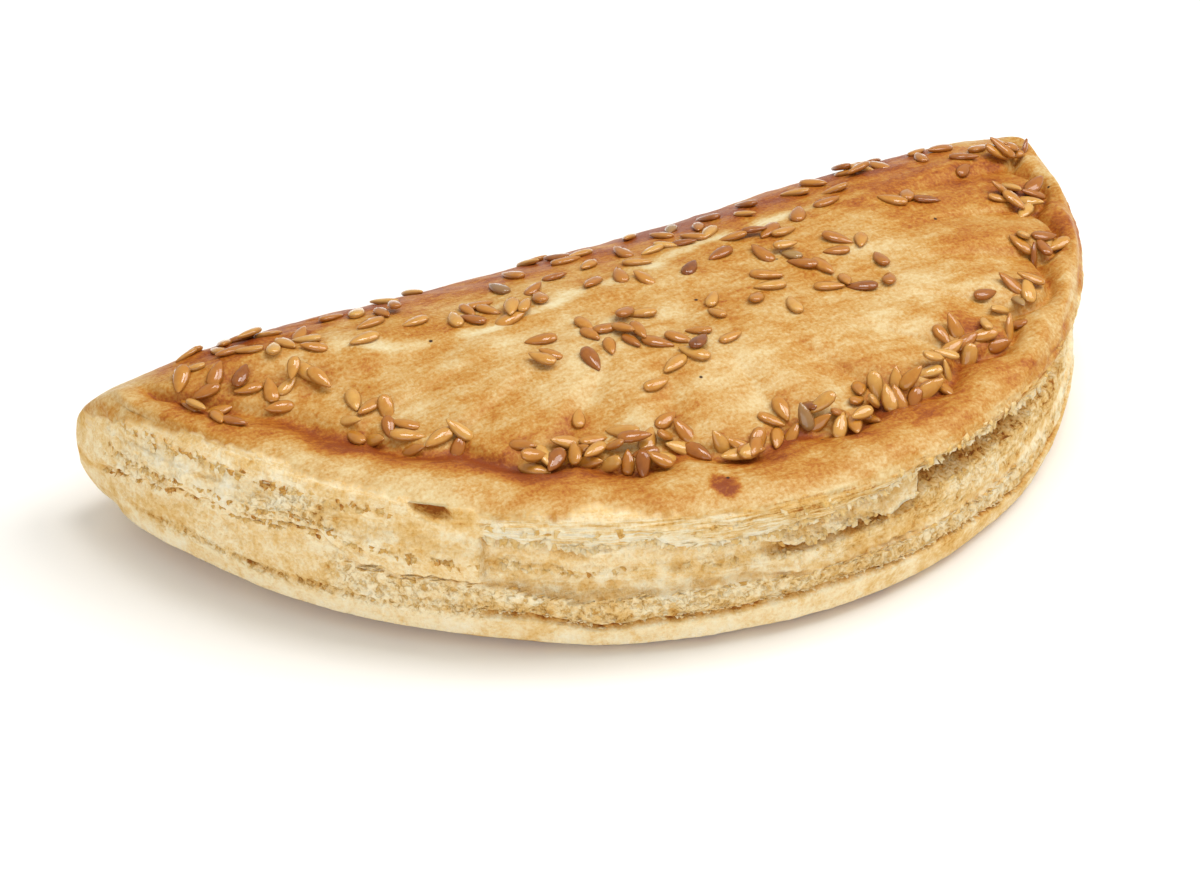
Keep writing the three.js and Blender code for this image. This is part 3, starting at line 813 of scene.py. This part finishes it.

# %% [markdown]
# ## How far each spot is baked
# An oven browns every spot of a crust a little differently. A painter would brush such colours on. Here five
# numbers for each point are worked out from where it lies, and the crust's material reads them. "torn" is
# one on the bare layers of the side and zero under the egg wash. "bake" says how brown the washed crust is:
# darkest where the wash ran into the crease and along the fold, browner in a ring round each seed, palest
# where the dough stretched open along the top. A third number says how golden the bare dough is, and it
# holds painted light and shade: pits, the gap and the dough under the lip are painted more golden as shade,
# raised shreds paler as light, and the crack and groove are more golden too. "pores" and "layers" say where
# the bare dough is spongy and where it shows its thin layers.

# %% How brown the washed crust is
STREAK = ((-50, 20), (-40, 13), (-27, 13), (-6, 16), (16, 21), (45, 22.5))  # where the top stretched open
STREAK_WIDTH = 1.5
STREAK_SWAY = 1.5
STREAK_MEAN = 0.6
STREAK_START = (-58, -46)
STREAK_END = (42, 52)
SPOT = (-15.8, -38.1)  # a burnt drop of wash on the rim
SPOT_SIZE = 2.2
SPOT_LENGTH = 1.3  # as a share of its width
SPOT_FULLNESS = 1.6
SPOT_RAGGED = 0.6
RIDGE_START = (20, 33)  # the fold's ridge: where it starts, fades out behind, and ends towards the tips
RIDGE_FADE = (37, 45)
RIDGE_FADED = 0.8  # share of it that fades out
RIDGE_ENDS = (65, 85)
RIGHT_END_X = (25, 75)  # the right end browned more, but not along the fold
RIGHT_END_Y = (18, 30)
SEED_HALO = 2.4
EVEN_BAKE = 0.5
# How much more or less each of these is baked.
BAKE_BY = {"blotch": 0.15, "mottle": 0.14, "ridge": 0.34, "right end": 0.2, "spot": 0.5, "halo": 0.1,
           "streak": -0.5}


def bell(t, middle, width):
    """Bell curve: e to the power of -((t - middle) / width)^2."""
    return np.exp(-((t - middle) / width) ** 2)


def bake_of(points, near_crease):
    """How brown the washed crust is: patches, crease, fold's ridge and seeds, less the stretched streak."""
    x, y = points[..., 0], points[..., 1]
    streak_y = np.interp(x, *np.array(STREAK).T) + STREAK_SWAY * soft_noise(points, 5, 141)
    on_streak = bell(y, streak_y, STREAK_WIDTH) * ramp(x, *STREAK_START) * (1 - ramp(x, *STREAK_END))
    to_spot = np.hypot(x - SPOT[0], (y - SPOT[1]) / SPOT_LENGTH) / SPOT_SIZE
    to_seed = np.min([np.hypot(x - seed[0], y - seed[1]) for seed in seed_places], axis=0)
    on_ridge = ramp(y, *RIDGE_START) * (1 - RIDGE_FADED * ramp(y, *RIDGE_FADE))
    share = {
        "blotch": rough_noise(points, 19, 121),
        "mottle": rough_noise(points, 7, 131),
        "ridge": on_ridge * (1 - ramp(np.abs(x), *RIDGE_ENDS)),
        "right end": ramp(x, *RIGHT_END_X) * (1 - ramp(y, *RIGHT_END_Y)),
        "spot": smooth(SPOT_FULLNESS - to_spot + SPOT_RAGGED * soft_noise(points, 2, 145)),
        "halo": bell(to_seed, 0, SEED_HALO),
        "streak": on_streak * (STREAK_MEAN + soft_noise(points, 4, 151)),
    }
    return EVEN_BAKE + near_crease + sum(amount * share[name] for name, amount in BAKE_BY.items())


under_count = 1 + sum(len(ring) for ring in base_rings)
dome_points = np.vstack(rings[1 + len(base_rings) + len(crust):])


def on_pastry(under_value, side_values, rim_values, dome_values):
    """One number for each point of the pastry, in the order of its rings."""
    rim_values = rim_values * np.ones(top.shape[:2])
    return np.concatenate([np.full(under_count, under_value), side_values.ravel(), rim_values.ravel(),
                           np.full(len(dome_points), dome_values)])


# The wash ran into the crease, most at the front left, and its deepest line is darkest. A band is given by
# its middle and width as shares of the crease's inset, a start by shares of the way round.
CREASE_BAKE, CREASE_BAND = 0.2, (0.8, 0.24)
CREASE_MOTTLE = 0.16
DEEPEST_BAKE, DEEPEST_BAND = 0.24, (0.97, 0.1)
FRONT_LEFT, FRONT_LEFT_BAKE, FRONT_LEFT_FADE = 0.27, 0.22, (0.06, 0.16)
RIGHT_CREASE, RIGHT_CREASE_START = 0.3, (0.55, 0.7)  # share of it that shows on the right
# The rim is paler along its edge and at the far right, and browner in the middle of the right half.
EDGE_PALE, EDGE_BAND = 0.06, (0, 0.3)
MIDDLE_BAKE, MIDDLE_START = 0.18, (0.4, 0.5)
FAR_PALE, FAR_START = 0.28, (0.62, 0.75)
BASE_BAKE = 0.6
at_front_left = 1 - ramp(np.abs(edge - FRONT_LEFT), *FRONT_LEFT_FADE)
crease_bake = CREASE_BAKE + FRONT_LEFT_BAKE * at_front_left + CREASE_MOTTLE * soft_noise(around, 9, 161)
rim_crease = bell(rim_across, *CREASE_BAND) * crease_bake + DEEPEST_BAKE * bell(rim_across, *DEEPEST_BAND)
rim_crease = rim_crease * mix(1, RIGHT_CREASE, ramp(edge, *RIGHT_CREASE_START))
rim_pale = EDGE_PALE * bell(rim_across, *EDGE_BAND) + FAR_PALE * ramp(edge, *FAR_START)
rim_pale = rim_pale - MIDDLE_BAKE * ramp(edge, *MIDDLE_START)
rim_bake = bake_of(top, (rim_crease - rim_pale) * cutness)
bake = on_pastry(BASE_BAKE, bake_of(side, 0), rim_bake, bake_of(dome_points, 0))
print("bake from", bake.min().round(2), "to", bake.max().round(2))

# %% How golden the bare dough is
GOLD_OF = {"base": 0.75, "fold": 0.5, "top": 0.45}
# Painted shade and light: deeper spots of the bare side are painted more golden, raised shreds paler.
SHADE_GOLD_BY_DEPTH = 0.3  # how much more golden a millimetre of depth is
DEPTH_LIMIT = 0.4
TEAR_GOLD = 0.5
GOLD_PATCH, GOLD_PATCH_SIZE = 0.16, (5, 5, 3.5)
GOLD_SPECKLE, GOLD_SPECKLE_SIZE = 0.08, 1.8
gold_patches = GOLD_PATCH * rough_noise(side, GOLD_PATCH_SIZE, 171)
gold_patches += GOLD_SPECKLE * rough_noise(side, GOLD_SPECKLE_SIZE, 181, 2)
# The fine relief paints pits more golden, as painted shade, and raised shreds paler, as painted light.
side_gold_and_shade = row_gold_and_shade - SHADE_GOLD_BY_DEPTH * np.clip(fine, -DEPTH_LIMIT, DEPTH_LIMIT) + TEAR_GOLD * tear
side_gold_and_shade = gold_patches + mix(GOLD_OF["fold"], side_gold_and_shade, cutness)
gold_and_shade = on_pastry(GOLD_OF["base"], side_gold_and_shade, GOLD_OF["top"], GOLD_OF["top"])
print("gold from", gold_and_shade.min().round(2), "to", gold_and_shade.max().round(2))

# %% Where the wash ends
# Height down to which the wash reached, by share of the way round.
WASH_LINE = ((0, 20), (0.06, 24.4), (0.15, 26.8), (0.22, 26.5), (0.3, 25.8), (0.42, 25.8), (0.5, 24.2),
             (0.6, 23.2), (0.75, 23.5), (0.9, 23), (1, 21))
WASH_SOFTNESS = 3  # height over which it thins out
RIM_WASHED = (0.15, 0.5)  # the rim is washed from here inwards, whatever its height
FOLD_WASHED = (3, 9.5)  # and the fold from here upwards in its roll
LEFT_TIP = (74, 86)  # distance out at which the left tip stayed bare
BASE_TORN = 0.6
wash_line = np.interp(edge, *np.array(WASH_LINE).T) + ragged(1, 0.4, 191)
cut_torn = 1 - smooth((crust_height - wash_line) / WASH_SOFTNESS + 0.5)
cut_torn[SIDE_ROWS:] *= 1 - ramp(rim_across, *RIM_WASHED)
fold_torn = 1 - ramp(crust_roll, *FOLD_WASHED) * np.ones(len(edge))
at_tip = ramp(ragged(2, 1.5, 195) - outline[:, 0], *LEFT_TIP)
crust_torn = mix(fold_torn, cut_torn, np.maximum(cutness, at_tip))
torn = on_pastry(BASE_TORN, crust_torn[:SIDE_ROWS], crust_torn[SIDE_ROWS:], 0)
print("bare dough:", int((torn > 0.5).sum()), "of", len(torn), "points")

# %% Where bare dough is spongy or layered
# Pores come in clusters on the upper side, evenly in the sponge, and along the base's edge on the left.
CLUSTER_SIZE = (8, 8, 4)
CLUSTER_CONTRAST = 1.1
BETWEEN_CLUSTERS = 0.3  # share of the pores that is left there
CLUSTERED_PORES = {"upper left": 1, "upper puffed": 0.3, "faces": 0.3}
EVEN_PORES = {"sponge": 0.8, "gaping faces": 0.5}
UPPER_PORES_START = (0.02, 0.06)
BASE_PORES_START = (0.05, 0.09)
clusters = smooth(0.5 + CLUSTER_CONTRAST * soft_noise(side, CLUSTER_SIZE, 201))
clusters = mix(BETWEEN_CLUSTERS, 1, clusters) * ramp(edge, *UPPER_PORES_START)
side_pores = clusters * in_parts(CLUSTERED_PORES) + in_parts(EVEN_PORES)
side_pores += (left + puffed) * ramp(edge, *BASE_PORES_START) * where_rows("bottom edge", "crack")
pores = on_pastry(0, side_pores * cutness, 0, 0)
# Thin layers show most at the lip, and a little way over its top.
LAYERS = {"lip": 1, "faces": 0.25, "gap": 0.3}
LEFT_LAYERS = 0.3
RIM_LAYERS, RIM_LAYERS_BAND = 0.5, (0, 0.25)
side_layers = in_parts(LAYERS) + LEFT_LAYERS * (left + puffed) * where_rows("lip")
layers = on_pastry(0, side_layers * cutness, RIM_LAYERS * bell(rim_across, *RIM_LAYERS_BAND) * cutness, 0)
print("spongy:", int((pores > 0.5).sum()), "layered:", int((layers > 0.5).sum()), "points")

# %% [markdown]
# ## Baked puff pastry
# Puff pastry is wheat dough folded round butter and baked: the washed top browns into a satin, finely
# mottled crust, and the torn side stays a dry, pale, slightly see-through crumb. Two materials would meet
# in a hard line, so both are one, and the egg wash ends in a ragged edge. The stored numbers carry the
# large patches. Noise of a few millimetres down to half a millimetre breaks them up into speckles, into
# streaks pulled along the fold, and on the bare dough into crumb and thin layers.

# %% Crust material
# Size in mm, detail, roughness and distortion of each noise, and its stretch: less than 1 draws it out.
CRUST_NOISES = {
    "patch": (6, 4, 0.55, 0.5, (1, 1, 1)),
    "pull": (2.2, 3, 0.62, 0.4, (0.3, 1, 1)),
    "bloom": (2, 5, 0.62, 0, (1, 1, 1)),
    "crumb": (1.1, 3, 0.62, 1, (1, 1, 1)),
    "grain": (0.6, 3, 0.62, 0, (1, 1, 1)),
    "tooth": (0.6, 4, 0.62, 0, (1, 1, 1)),
    "sheet": (0.4, 3, 0.62, 0.3, (0.05, 0.05, 1)),
}
# What each mix starts from, what is added to it everywhere, and its share of every noise.
# The golden mix adds gold where the crumb has pits: that gold is painted shade in the pores.
CRUST_MIXES = {
    "brown": ("bake", -0.9, {"patch": 0.5, "grain": 0.7, "pull": 0.6}),
    "golden": ("gold_and_shade", -0.66, {"bloom": 0.7, "grain": 0.6, "pits_and_shade": 0.36, "sheet": 1.6}),
    "bareness": ("torn", 0, {"bloom": 0.9, "grain": 0.6}),
    "height": ("tooth", 0, {"bloom": 0.6, "sheet": 1.6, "pits_and_shade": -0.9}),
}
WASHED_STOPS = ((0.0, "#e3d5ab"), (0.3, "#d8bc86"), (0.5, "#ca9d58"), (0.65, "#be8333"), (0.8, "#ae651e"),
                (1.0, "#8c4216"))
BARE_STOPS = ((0.0, "#fbf1d6"), (0.3, "#f7e4ba"), (0.5, "#edcd92"), (0.7, "#e0b367"), (0.85, "#c98f42"),
              (1.0, "#a15f22"))
SPECKS_APART = 9  # mm between burnt specks
BUMP_DEPTH = 0.5


def per_metre(size_mm):
    """A noise texture's scale for features of that size: its lattice has a point every 1 / scale metres."""
    return 1 / (size_mm * MM)


def crust_material():
    """Baked puff pastry: mottled satin egg-washed crust above, dry pale layered crumb at the torn side."""
    material, tree = new_material("baked_puff_pastry")
    place = node(tree, "ShaderNodeTexCoord", out="Object")
    value = {name: node(tree, "ShaderNodeAttribute", out="Fac", attribute_name=name)
             for name in ("bake", "torn", "gold_and_shade", "pores", "layers")}
    for name, (size, detail, roughness, distortion, stretch) in CRUST_NOISES.items():
        where = node(tree, "ShaderNodeMapping", {"Vector": place, "Scale": stretch})
        value[name] = node(tree, "ShaderNodeTexNoise", {
            "Vector": where, "Scale": per_metre(size), "Detail": detail, "Roughness": roughness,
            "Distortion": distortion})
    # Pits of the crumb: they sink the bump, and the golden mix paints them more golden, as painted shade.
    pits_and_shade = node(tree, "ShaderNodeMapRange", {"Value": value["crumb"], "From Min": 0.5, "From Max": 0.68})
    value["pits_and_shade"] = node(tree, "ShaderNodeMath", {0: pits_and_shade, 1: value["pores"]}, operation="MULTIPLY")
    sheet = node(tree, "ShaderNodeMath", {0: value["sheet"], 1: 0.5}, operation="SUBTRACT")
    value["sheet"] = node(tree, "ShaderNodeMath", {0: sheet, 1: value["layers"]}, operation="MULTIPLY")
    for name, (start, offset, noise_shares) in CRUST_MIXES.items():
        total = node(tree, "ShaderNodeMath", {0: value[start], 1: offset}, operation="ADD")
        for noise, share in noise_shares.items():
            total = node(tree, "ShaderNodeMath", {0: value[noise], 1: share, 2: total},
                         operation="MULTIPLY_ADD")
        value[name] = total

    washed = node(tree, "ShaderNodeValToRGB", {"Fac": value["brown"]}, stops=WASHED_STOPS)
    speck = node(tree, "ShaderNodeTexVoronoi", {"Vector": place, "Scale": per_metre(SPECKS_APART)})
    unburnt = node(tree, "ShaderNodeMapRange", {"Value": speck, "From Min": 0.025, "From Max": 0.045})
    washed = node(tree, "ShaderNodeMix", {0: unburnt, 6: to_linear("#3c2114"), 7: washed}, out=2,
                  data_type="RGBA")
    bare = node(tree, "ShaderNodeValToRGB", {"Fac": value["golden"]}, stops=BARE_STOPS)
    bareness = node(tree, "ShaderNodeMapRange", {
        "Value": value["bareness"], "From Min": 1.1, "From Max": 1.4})
    colour = node(tree, "ShaderNodeMix", {0: bareness, 6: washed, 7: bare}, out=2, data_type="RGBA")
    roughness = node(tree, "ShaderNodeMapRange", {"Value": bareness, "To Min": 0.4, "To Max": 0.85})
    strength = node(tree, "ShaderNodeMapRange", {"Value": bareness, "To Min": 0.35, "To Max": 0.9})
    bumps = node(tree, "ShaderNodeBump", {
        "Height": value["height"], "Strength": strength, "Distance": BUMP_DEPTH * MM})
    # Light sinks into dough about as far in every colour, so thin shreds stay golden.
    surface = node(tree, "ShaderNodeBsdfPrincipled", {
        "Base Color": colour, "Roughness": roughness, "Normal": bumps, "IOR": 1.45,
        "Specular IOR Level": 0.25, "Subsurface Weight": 0.2, "Subsurface Radius": (1.0, 0.9, 0.7),
        "Subsurface Scale": 0.6 * MM})
    node(tree, "ShaderNodeOutputMaterial", {"Surface": surface})
    return material


pastry = make_piece("pastry", pastry_points, pastry_faces, crust_material())
for name, values in {"bake": bake, "gold_and_shade": gold_and_shade, "torn": torn, "pores": pores, "layers": layers}.items():
    paint(pastry, name, values)
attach(pastry, "root")
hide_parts("empanada")

# %% [markdown]
# ## Torn flakes
# Where a layer of puff pastry tears it leaves thin shreds: they hang from the lip, stand along the ledge
# and lie on the crumb. Hair would be too round for them, so each flake is a small curled sheet, four points
# long and three wide, closed all round. All flakes of a row are drawn at once as arrays: a root on the
# crust, a direction to grow in, a size and a curl.

# %% Flakes
# Station to grow from, share of the way round from and to, number, length, width, how far the flake points
# outwards and upwards, and how golden it is.
FLAKES = (
    ("lip's edge", 0.292, 0.7, 230, 1.3, 1.6, 0.35, -0.8, 0.3),
    ("ledge", 0.21, 0.66, 200, 0.8, 1.6, 0.7, 0.5, 0.4),
    ("ledge", 0.03, 0.2, 60, 0.8, 1.5, 0.6, -0.4, 0.55),
    ("sheet's edge", 0.46, 0.66, 80, 0.9, 1.5, 0.5, -0.7, 0.4),
    ("sponge", 0.27, 0.66, 160, 0.7, 0.7, 0.8, 0.3, 0.3),
    ("face", 0.3, 0.66, 90, 0.9, 1.1, 0.4, -0.7, 0.45),
    ("lip", 0.04, 0.24, 90, 0.9, 1.2, 0.3, -0.8, 0.55),
    ("face", 0.03, 0.29, 110, 0.8, 0.9, 0.4, -0.7, 0.55),
    ("lip", 0.29, 0.72, 60, 0.9, 1.4, 0.3, -0.8, 0.45),
    ("crack", 0.28, 0.66, 60, 0.7, 0.9, 0.6, 0.4, 0.4),
)
FLAKE_THICKNESS = 0.12
FLAKE_STEPS = np.linspace(0, 1, 4)
FLAKE_HALVES = np.array([-0.5, 0, 0.5])
FLAKE_POINTS = len(FLAKE_STEPS) * len(FLAKE_HALVES)  # on each of its two sides
FLAKE_ROOT = 0.3  # share of its length that is buried
FLAKE_TAPER = 0.6
FLAKE_SWAY = 0.35  # how much its direction varies along the tear, and in every direction
FLAKE_SCATTER = 0.25
# Least and most: share of its row's length and width, raggedness, curl as a share of its length, added tone.
FLAKE_LENGTHS = (0.5, 1.4)
FLAKE_WIDTHS = (0.5, 1.5)
FLAKE_JAGS = (0.75, 1.25)
FLAKE_CURLS = (-0.2, 0.5)
FLAKE_TONES = (0, 0.3)
flake_draws = np.random.default_rng(11)


def flake_faces():
    """Faces of one closed sheet: its upper side, its lower side turned over, and a band round its rim."""
    upper_side = np.arange(FLAKE_POINTS).reshape(len(FLAKE_STEPS), len(FLAKE_HALVES))
    corners = (upper_side[:-1, :-1], upper_side[:-1, 1:], upper_side[1:, 1:], upper_side[1:, :-1])
    quads = np.stack(corners, axis=-1).reshape(-1, 4)
    rim = np.concatenate([upper_side[0], upper_side[1:, 2], upper_side[3, 1::-1], upper_side[2:0:-1, 0]])
    onward = np.roll(rim, -1)
    band = np.column_stack([rim, rim + FLAKE_POINTS, onward + FLAKE_POINTS, onward])
    return np.vstack([quads, quads[:, ::-1] + FLAKE_POINTS, band])


def grow_flakes(station, start, end, count, length, width, out, up, tone):
    """Points of flakes along one station, and how golden each is: root + way along + way across + curl."""
    row = int(row_counts[:at_station[station]].sum())
    rows = row + flake_draws.integers(-1, 2, count)
    columns = (flake_draws.uniform(start, end, count) * CUT_COLUMNS).astype(int)
    roots = settled(crust[rows, columns])
    outward = np.column_stack([-inward[columns], np.zeros(count)])
    along = np.cross(table_up, outward)
    grow = out * outward + up * table_up + FLAKE_SWAY * flake_draws.normal(size=(count, 1)) * along
    grow += FLAKE_SCATTER * flake_draws.normal(size=(count, 3))
    grow /= np.linalg.norm(grow, axis=1, keepdims=True)
    across_way = along - grow * np.sum(along * grow, axis=1, keepdims=True)
    across_way /= np.linalg.norm(across_way, axis=1, keepdims=True)
    curl_way = np.cross(across_way, grow)
    lengths = length * flake_draws.uniform(*FLAKE_LENGTHS, (count, 1))
    widths = width * flake_draws.uniform(*FLAKE_WIDTHS, (count, 1))
    curls = flake_draws.uniform(*FLAKE_CURLS, (count, 1, 1)) * lengths[..., None]
    jagged = flake_draws.uniform(*FLAKE_JAGS, (count, len(FLAKE_STEPS), len(FLAKE_HALVES)))
    steps = FLAKE_STEPS[:, None]
    way = lengths[..., None] * (steps * jagged - FLAKE_ROOT)
    wide = widths[..., None] * FLAKE_HALVES * (1 - FLAKE_TAPER * steps) * jagged
    high = curls * steps ** 2 * np.ones(len(FLAKE_HALVES))
    flat = way[..., None] * grow[:, None, None] + wide[..., None] * across_way[:, None, None]
    sides = []
    for half in (0.5, -0.5):
        points = flat + (high + half * FLAKE_THICKNESS)[..., None] * curl_way[:, None, None]
        sides.append((roots[:, None, None] + points).reshape(count, FLAKE_POINTS, 3))
    return np.concatenate(sides, axis=1), tone + flake_draws.uniform(*FLAKE_TONES, count)


grown = [grow_flakes(*row) for row in FLAKES]
flake_points = np.concatenate([points for points, _ in grown])
flake_gold = np.concatenate([tone for _, tone in grown])
flake_starts = 2 * FLAKE_POINTS * np.arange(len(flake_points))
all_faces = (flake_faces()[None] + flake_starts[:, None, None]).reshape(-1, 4)
flakes = make_piece("torn_flakes", flake_points.reshape(-1, 3), [all_faces], pastry.data.materials[0])
flake_values = {"bake": 0.45, "torn": 1, "pores": 0, "layers": 0}
for name, value in flake_values.items():
    paint(flakes, name, np.full(flake_points.size // 3, value))
paint(flakes, "gold_and_shade", np.repeat(flake_gold, 2 * FLAKE_POINTS))
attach(flakes, "root")
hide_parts("empanada")

# %% [markdown]
# ## The shape of a flax seed
# A flax seed is a flat teardrop with a lens-shaped section and a thin rim. Rings along its length follow
# s^0.8 (1 - s)^0.45, which is sharp at one end and round at the other. Instances would look the same, but a
# mesh of all seeds can store a tone for each, so one seed of a few dozen faces is laid out as an array and
# then turned and moved to all places at once. Each place is found by dropping straight down on the crust,
# and a seed that falls on others is lifted so that it lies on top of them.

# %% Lay the seeds
SEED_LENGTH = 5.1
SEED_WIDTH = 2.6
SEED_THICKNESS = 1.1
SEED_RINGS = np.array([0.05, 0.19, 0.39, 0.62, 0.83, 0.96])
SEED_SIDES = 8
SEED_TIP, SEED_END = 0.8, 0.45  # powers of its outline
SEED_FULLNESS = 0.6  # power by which its thickness follows its width
RIM_SHARPNESS = 8
SEED_REST = 0.3  # height of a seed's middle over the crust, because the wash holds it
PILE_REACH = 2.6  # seeds nearer than this lie on each other
PILE_STEP = 0.75  # lift for each seed below, up to this many
PILE_LAYERS = 2
DROP_HEIGHT = 100


def seed_shape():
    """Points, faces and rim share of one seed, long along Y with its tip at -Y."""
    half = SEED_RINGS ** SEED_TIP * (1 - SEED_RINGS) ** SEED_END
    half = half / half.max()
    angle = 2 * np.pi * np.arange(SEED_SIDES) / SEED_SIDES
    x = SEED_WIDTH / 2 * half[:, None] * np.cos(angle)
    z = SEED_THICKNESS / 2 * half[:, None] ** SEED_FULLNESS * np.sin(angle)
    y = SEED_LENGTH * (SEED_RINGS[:, None] - 0.5) * np.ones(SEED_SIDES)
    body = np.stack([x, y, z], axis=-1).reshape(-1, 3)
    ends = np.array([[0, -SEED_LENGTH / 2, 0], [0, SEED_LENGTH / 2, 0]])
    points = np.vstack([ends[:1], body, ends[1:]])
    ring_starts = [0] + [1 + SEED_SIDES * k for k in range(len(SEED_RINGS) + 1)]
    counts = [1] + [SEED_SIDES] * len(SEED_RINGS) + [1]
    seed_bands = [group[:, ::-1] for k in range(len(counts) - 1)
                  for group in band_faces(ring_starts[k], counts[k], ring_starts[k + 1], counts[k + 1])]
    rimness = np.concatenate([[1], np.tile(np.abs(np.cos(angle)) ** RIM_SHARPNESS, len(SEED_RINGS)), [1]])
    return points, seed_bands, rimness


def drop_on_crust(places):
    """Where each place meets the crust from straight above, and the crust's direction there."""
    below = BVHTree.FromObject(pastry, bpy.context.evaluated_depsgraph_get())
    down = Vector((0, 0, -1))
    hits = [below.ray_cast(Vector((x * MM, y * MM, DROP_HEIGHT * MM)), down) for x, y in places]
    return np.array([hit[0][:] for hit in hits]) / MM, np.array([hit[1][:] for hit in hits])


def frames_on(normals, headings, leans):
    """Turning matrices: the normal is up, the heading turns about it, the lean tips the seed's length."""
    sideways = np.cross(np.array([0, 1, 0]), normals)
    sideways /= np.linalg.norm(sideways, axis=1, keepdims=True)
    forward = np.cross(normals, sideways)
    c, s = np.cos(headings)[:, None], np.sin(headings)[:, None]
    x, y = c * sideways + s * forward, c * forward - s * sideways
    c, s = np.cos(leans)[:, None], np.sin(leans)[:, None]
    return np.stack([x, c * y + s * normals, c * normals - s * y], axis=-1)


feet, normals = drop_on_crust(seed_places)
headings, sizes, leans = seed_poses.T
apart = np.linalg.norm(seed_places[:, None] - seed_places[None], axis=-1)
under = np.tril(apart < PILE_REACH, -1).sum(axis=1)
seed_lift = SEED_REST + PILE_STEP * np.minimum(under, PILE_LAYERS)
centres = feet + normals * seed_lift[:, None]
one_seed, one_faces, one_rim_tone_and_shade = seed_shape()
turned = np.einsum("nij,kj->nki", frames_on(normals, headings, leans), one_seed)
seed_points = centres[:, None] + sizes[:, None, None] * turned
offsets = len(one_seed) * np.arange(len(centres))
seed_faces = [(group[None] + offsets[:, None, None]).reshape(-1, group.shape[1]) for group in one_faces]
print("seeds on others:", int((under > 0).sum()))

# %% [markdown]
# ## Flax seed coat
# The coat of a flax seed is a smooth, hard, very glossy skin, golden tan to chestnut and a little
# see-through.
# Its thin rim is painted darker: partly its own colour, partly painted shade along the edge. A material for
# each tone would do, but a stored number gives every seed its own, and another marks the rim. A few seeds in
# a hundred are unripe and stay grey.

# %% Seed material
FLAX_STOPS = ((0.0, "#d6a452"), (0.3, "#c0802c"), (0.6, "#a9651c"), (0.85, "#8a4c12"), (1.0, "#66330d"))
COAT_STREAKS = 1.1  # their size in mm


def flax_material():
    """Flax seed coat: glossy tan to chestnut, own tone for each seed, rim darkened partly by painted shade,
    clear coat.
    """
    material, tree = new_material("flax_seed_coat")
    tone = node(tree, "ShaderNodeAttribute", out="Fac", attribute_name="tone")
    rim = node(tree, "ShaderNodeAttribute", out="Fac", attribute_name="rim")
    unripe = node(tree, "ShaderNodeAttribute", out="Fac", attribute_name="unripe")
    place = node(tree, "ShaderNodeTexCoord", out="Object")
    streaks = node(tree, "ShaderNodeTexNoise", {
        "Vector": place, "Scale": per_metre(COAT_STREAKS), "Detail": 3})
    shade = node(tree, "ShaderNodeMath", {0: streaks, 1: 0.35, 2: tone}, operation="MULTIPLY_ADD")
    shade = node(tree, "ShaderNodeMath", {0: shade, 1: 0.17}, operation="SUBTRACT")
    coat = node(tree, "ShaderNodeValToRGB", {"Fac": shade}, stops=FLAX_STOPS)
    coat = node(tree, "ShaderNodeMix", {0: unripe, 6: coat, 7: to_linear("#8a7650")}, out=2, data_type="RGBA")
    # The rim is mixed towards dark brown: partly the seed's own colour, partly painted shade along its edge.
    colour = node(tree, "ShaderNodeMix", {0: rim, 6: coat, 7: to_linear("#7c3d12")}, out=2, data_type="RGBA")
    surface = node(tree, "ShaderNodeBsdfPrincipled", {
        "Base Color": colour, "Roughness": 0.4, "IOR": 1.48, "Specular IOR Level": 0.1,
        "Coat Weight": 1, "Coat Roughness": 0.06, "Coat IOR": 1.5,
        "Subsurface Weight": 0.1, "Subsurface Radius": (1.0, 0.5, 0.2), "Subsurface Scale": 0.6 * MM})
    node(tree, "ShaderNodeOutputMaterial", {"Surface": surface})
    return material


seeds = make_piece("flax_seeds", seed_points.reshape(-1, 3), seed_faces, flax_material())
SEED_TONES = (1.6, 3.2)  # powers of the beta curve that tones are drawn from: most are light
UNRIPE_SHARE = 0.03
UNRIPE_GREY = 0.6
RIM_TONE_AND_SHADE = 0.5
seed_draws = np.random.default_rng(7)
paint(seeds, "tone", np.repeat(seed_draws.beta(*SEED_TONES, len(centres)), len(one_seed)))
unripe = seed_draws.random(len(centres)) < UNRIPE_SHARE
paint(seeds, "unripe", np.repeat(UNRIPE_GREY * unripe, len(one_seed)))
# How dark each seed's rim is painted: partly its own colour, partly painted shade.
paint(seeds, "rim", np.tile(RIM_TONE_AND_SHADE * one_rim_tone_and_shade, len(centres)))
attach(seeds, "root")
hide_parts("empanada")
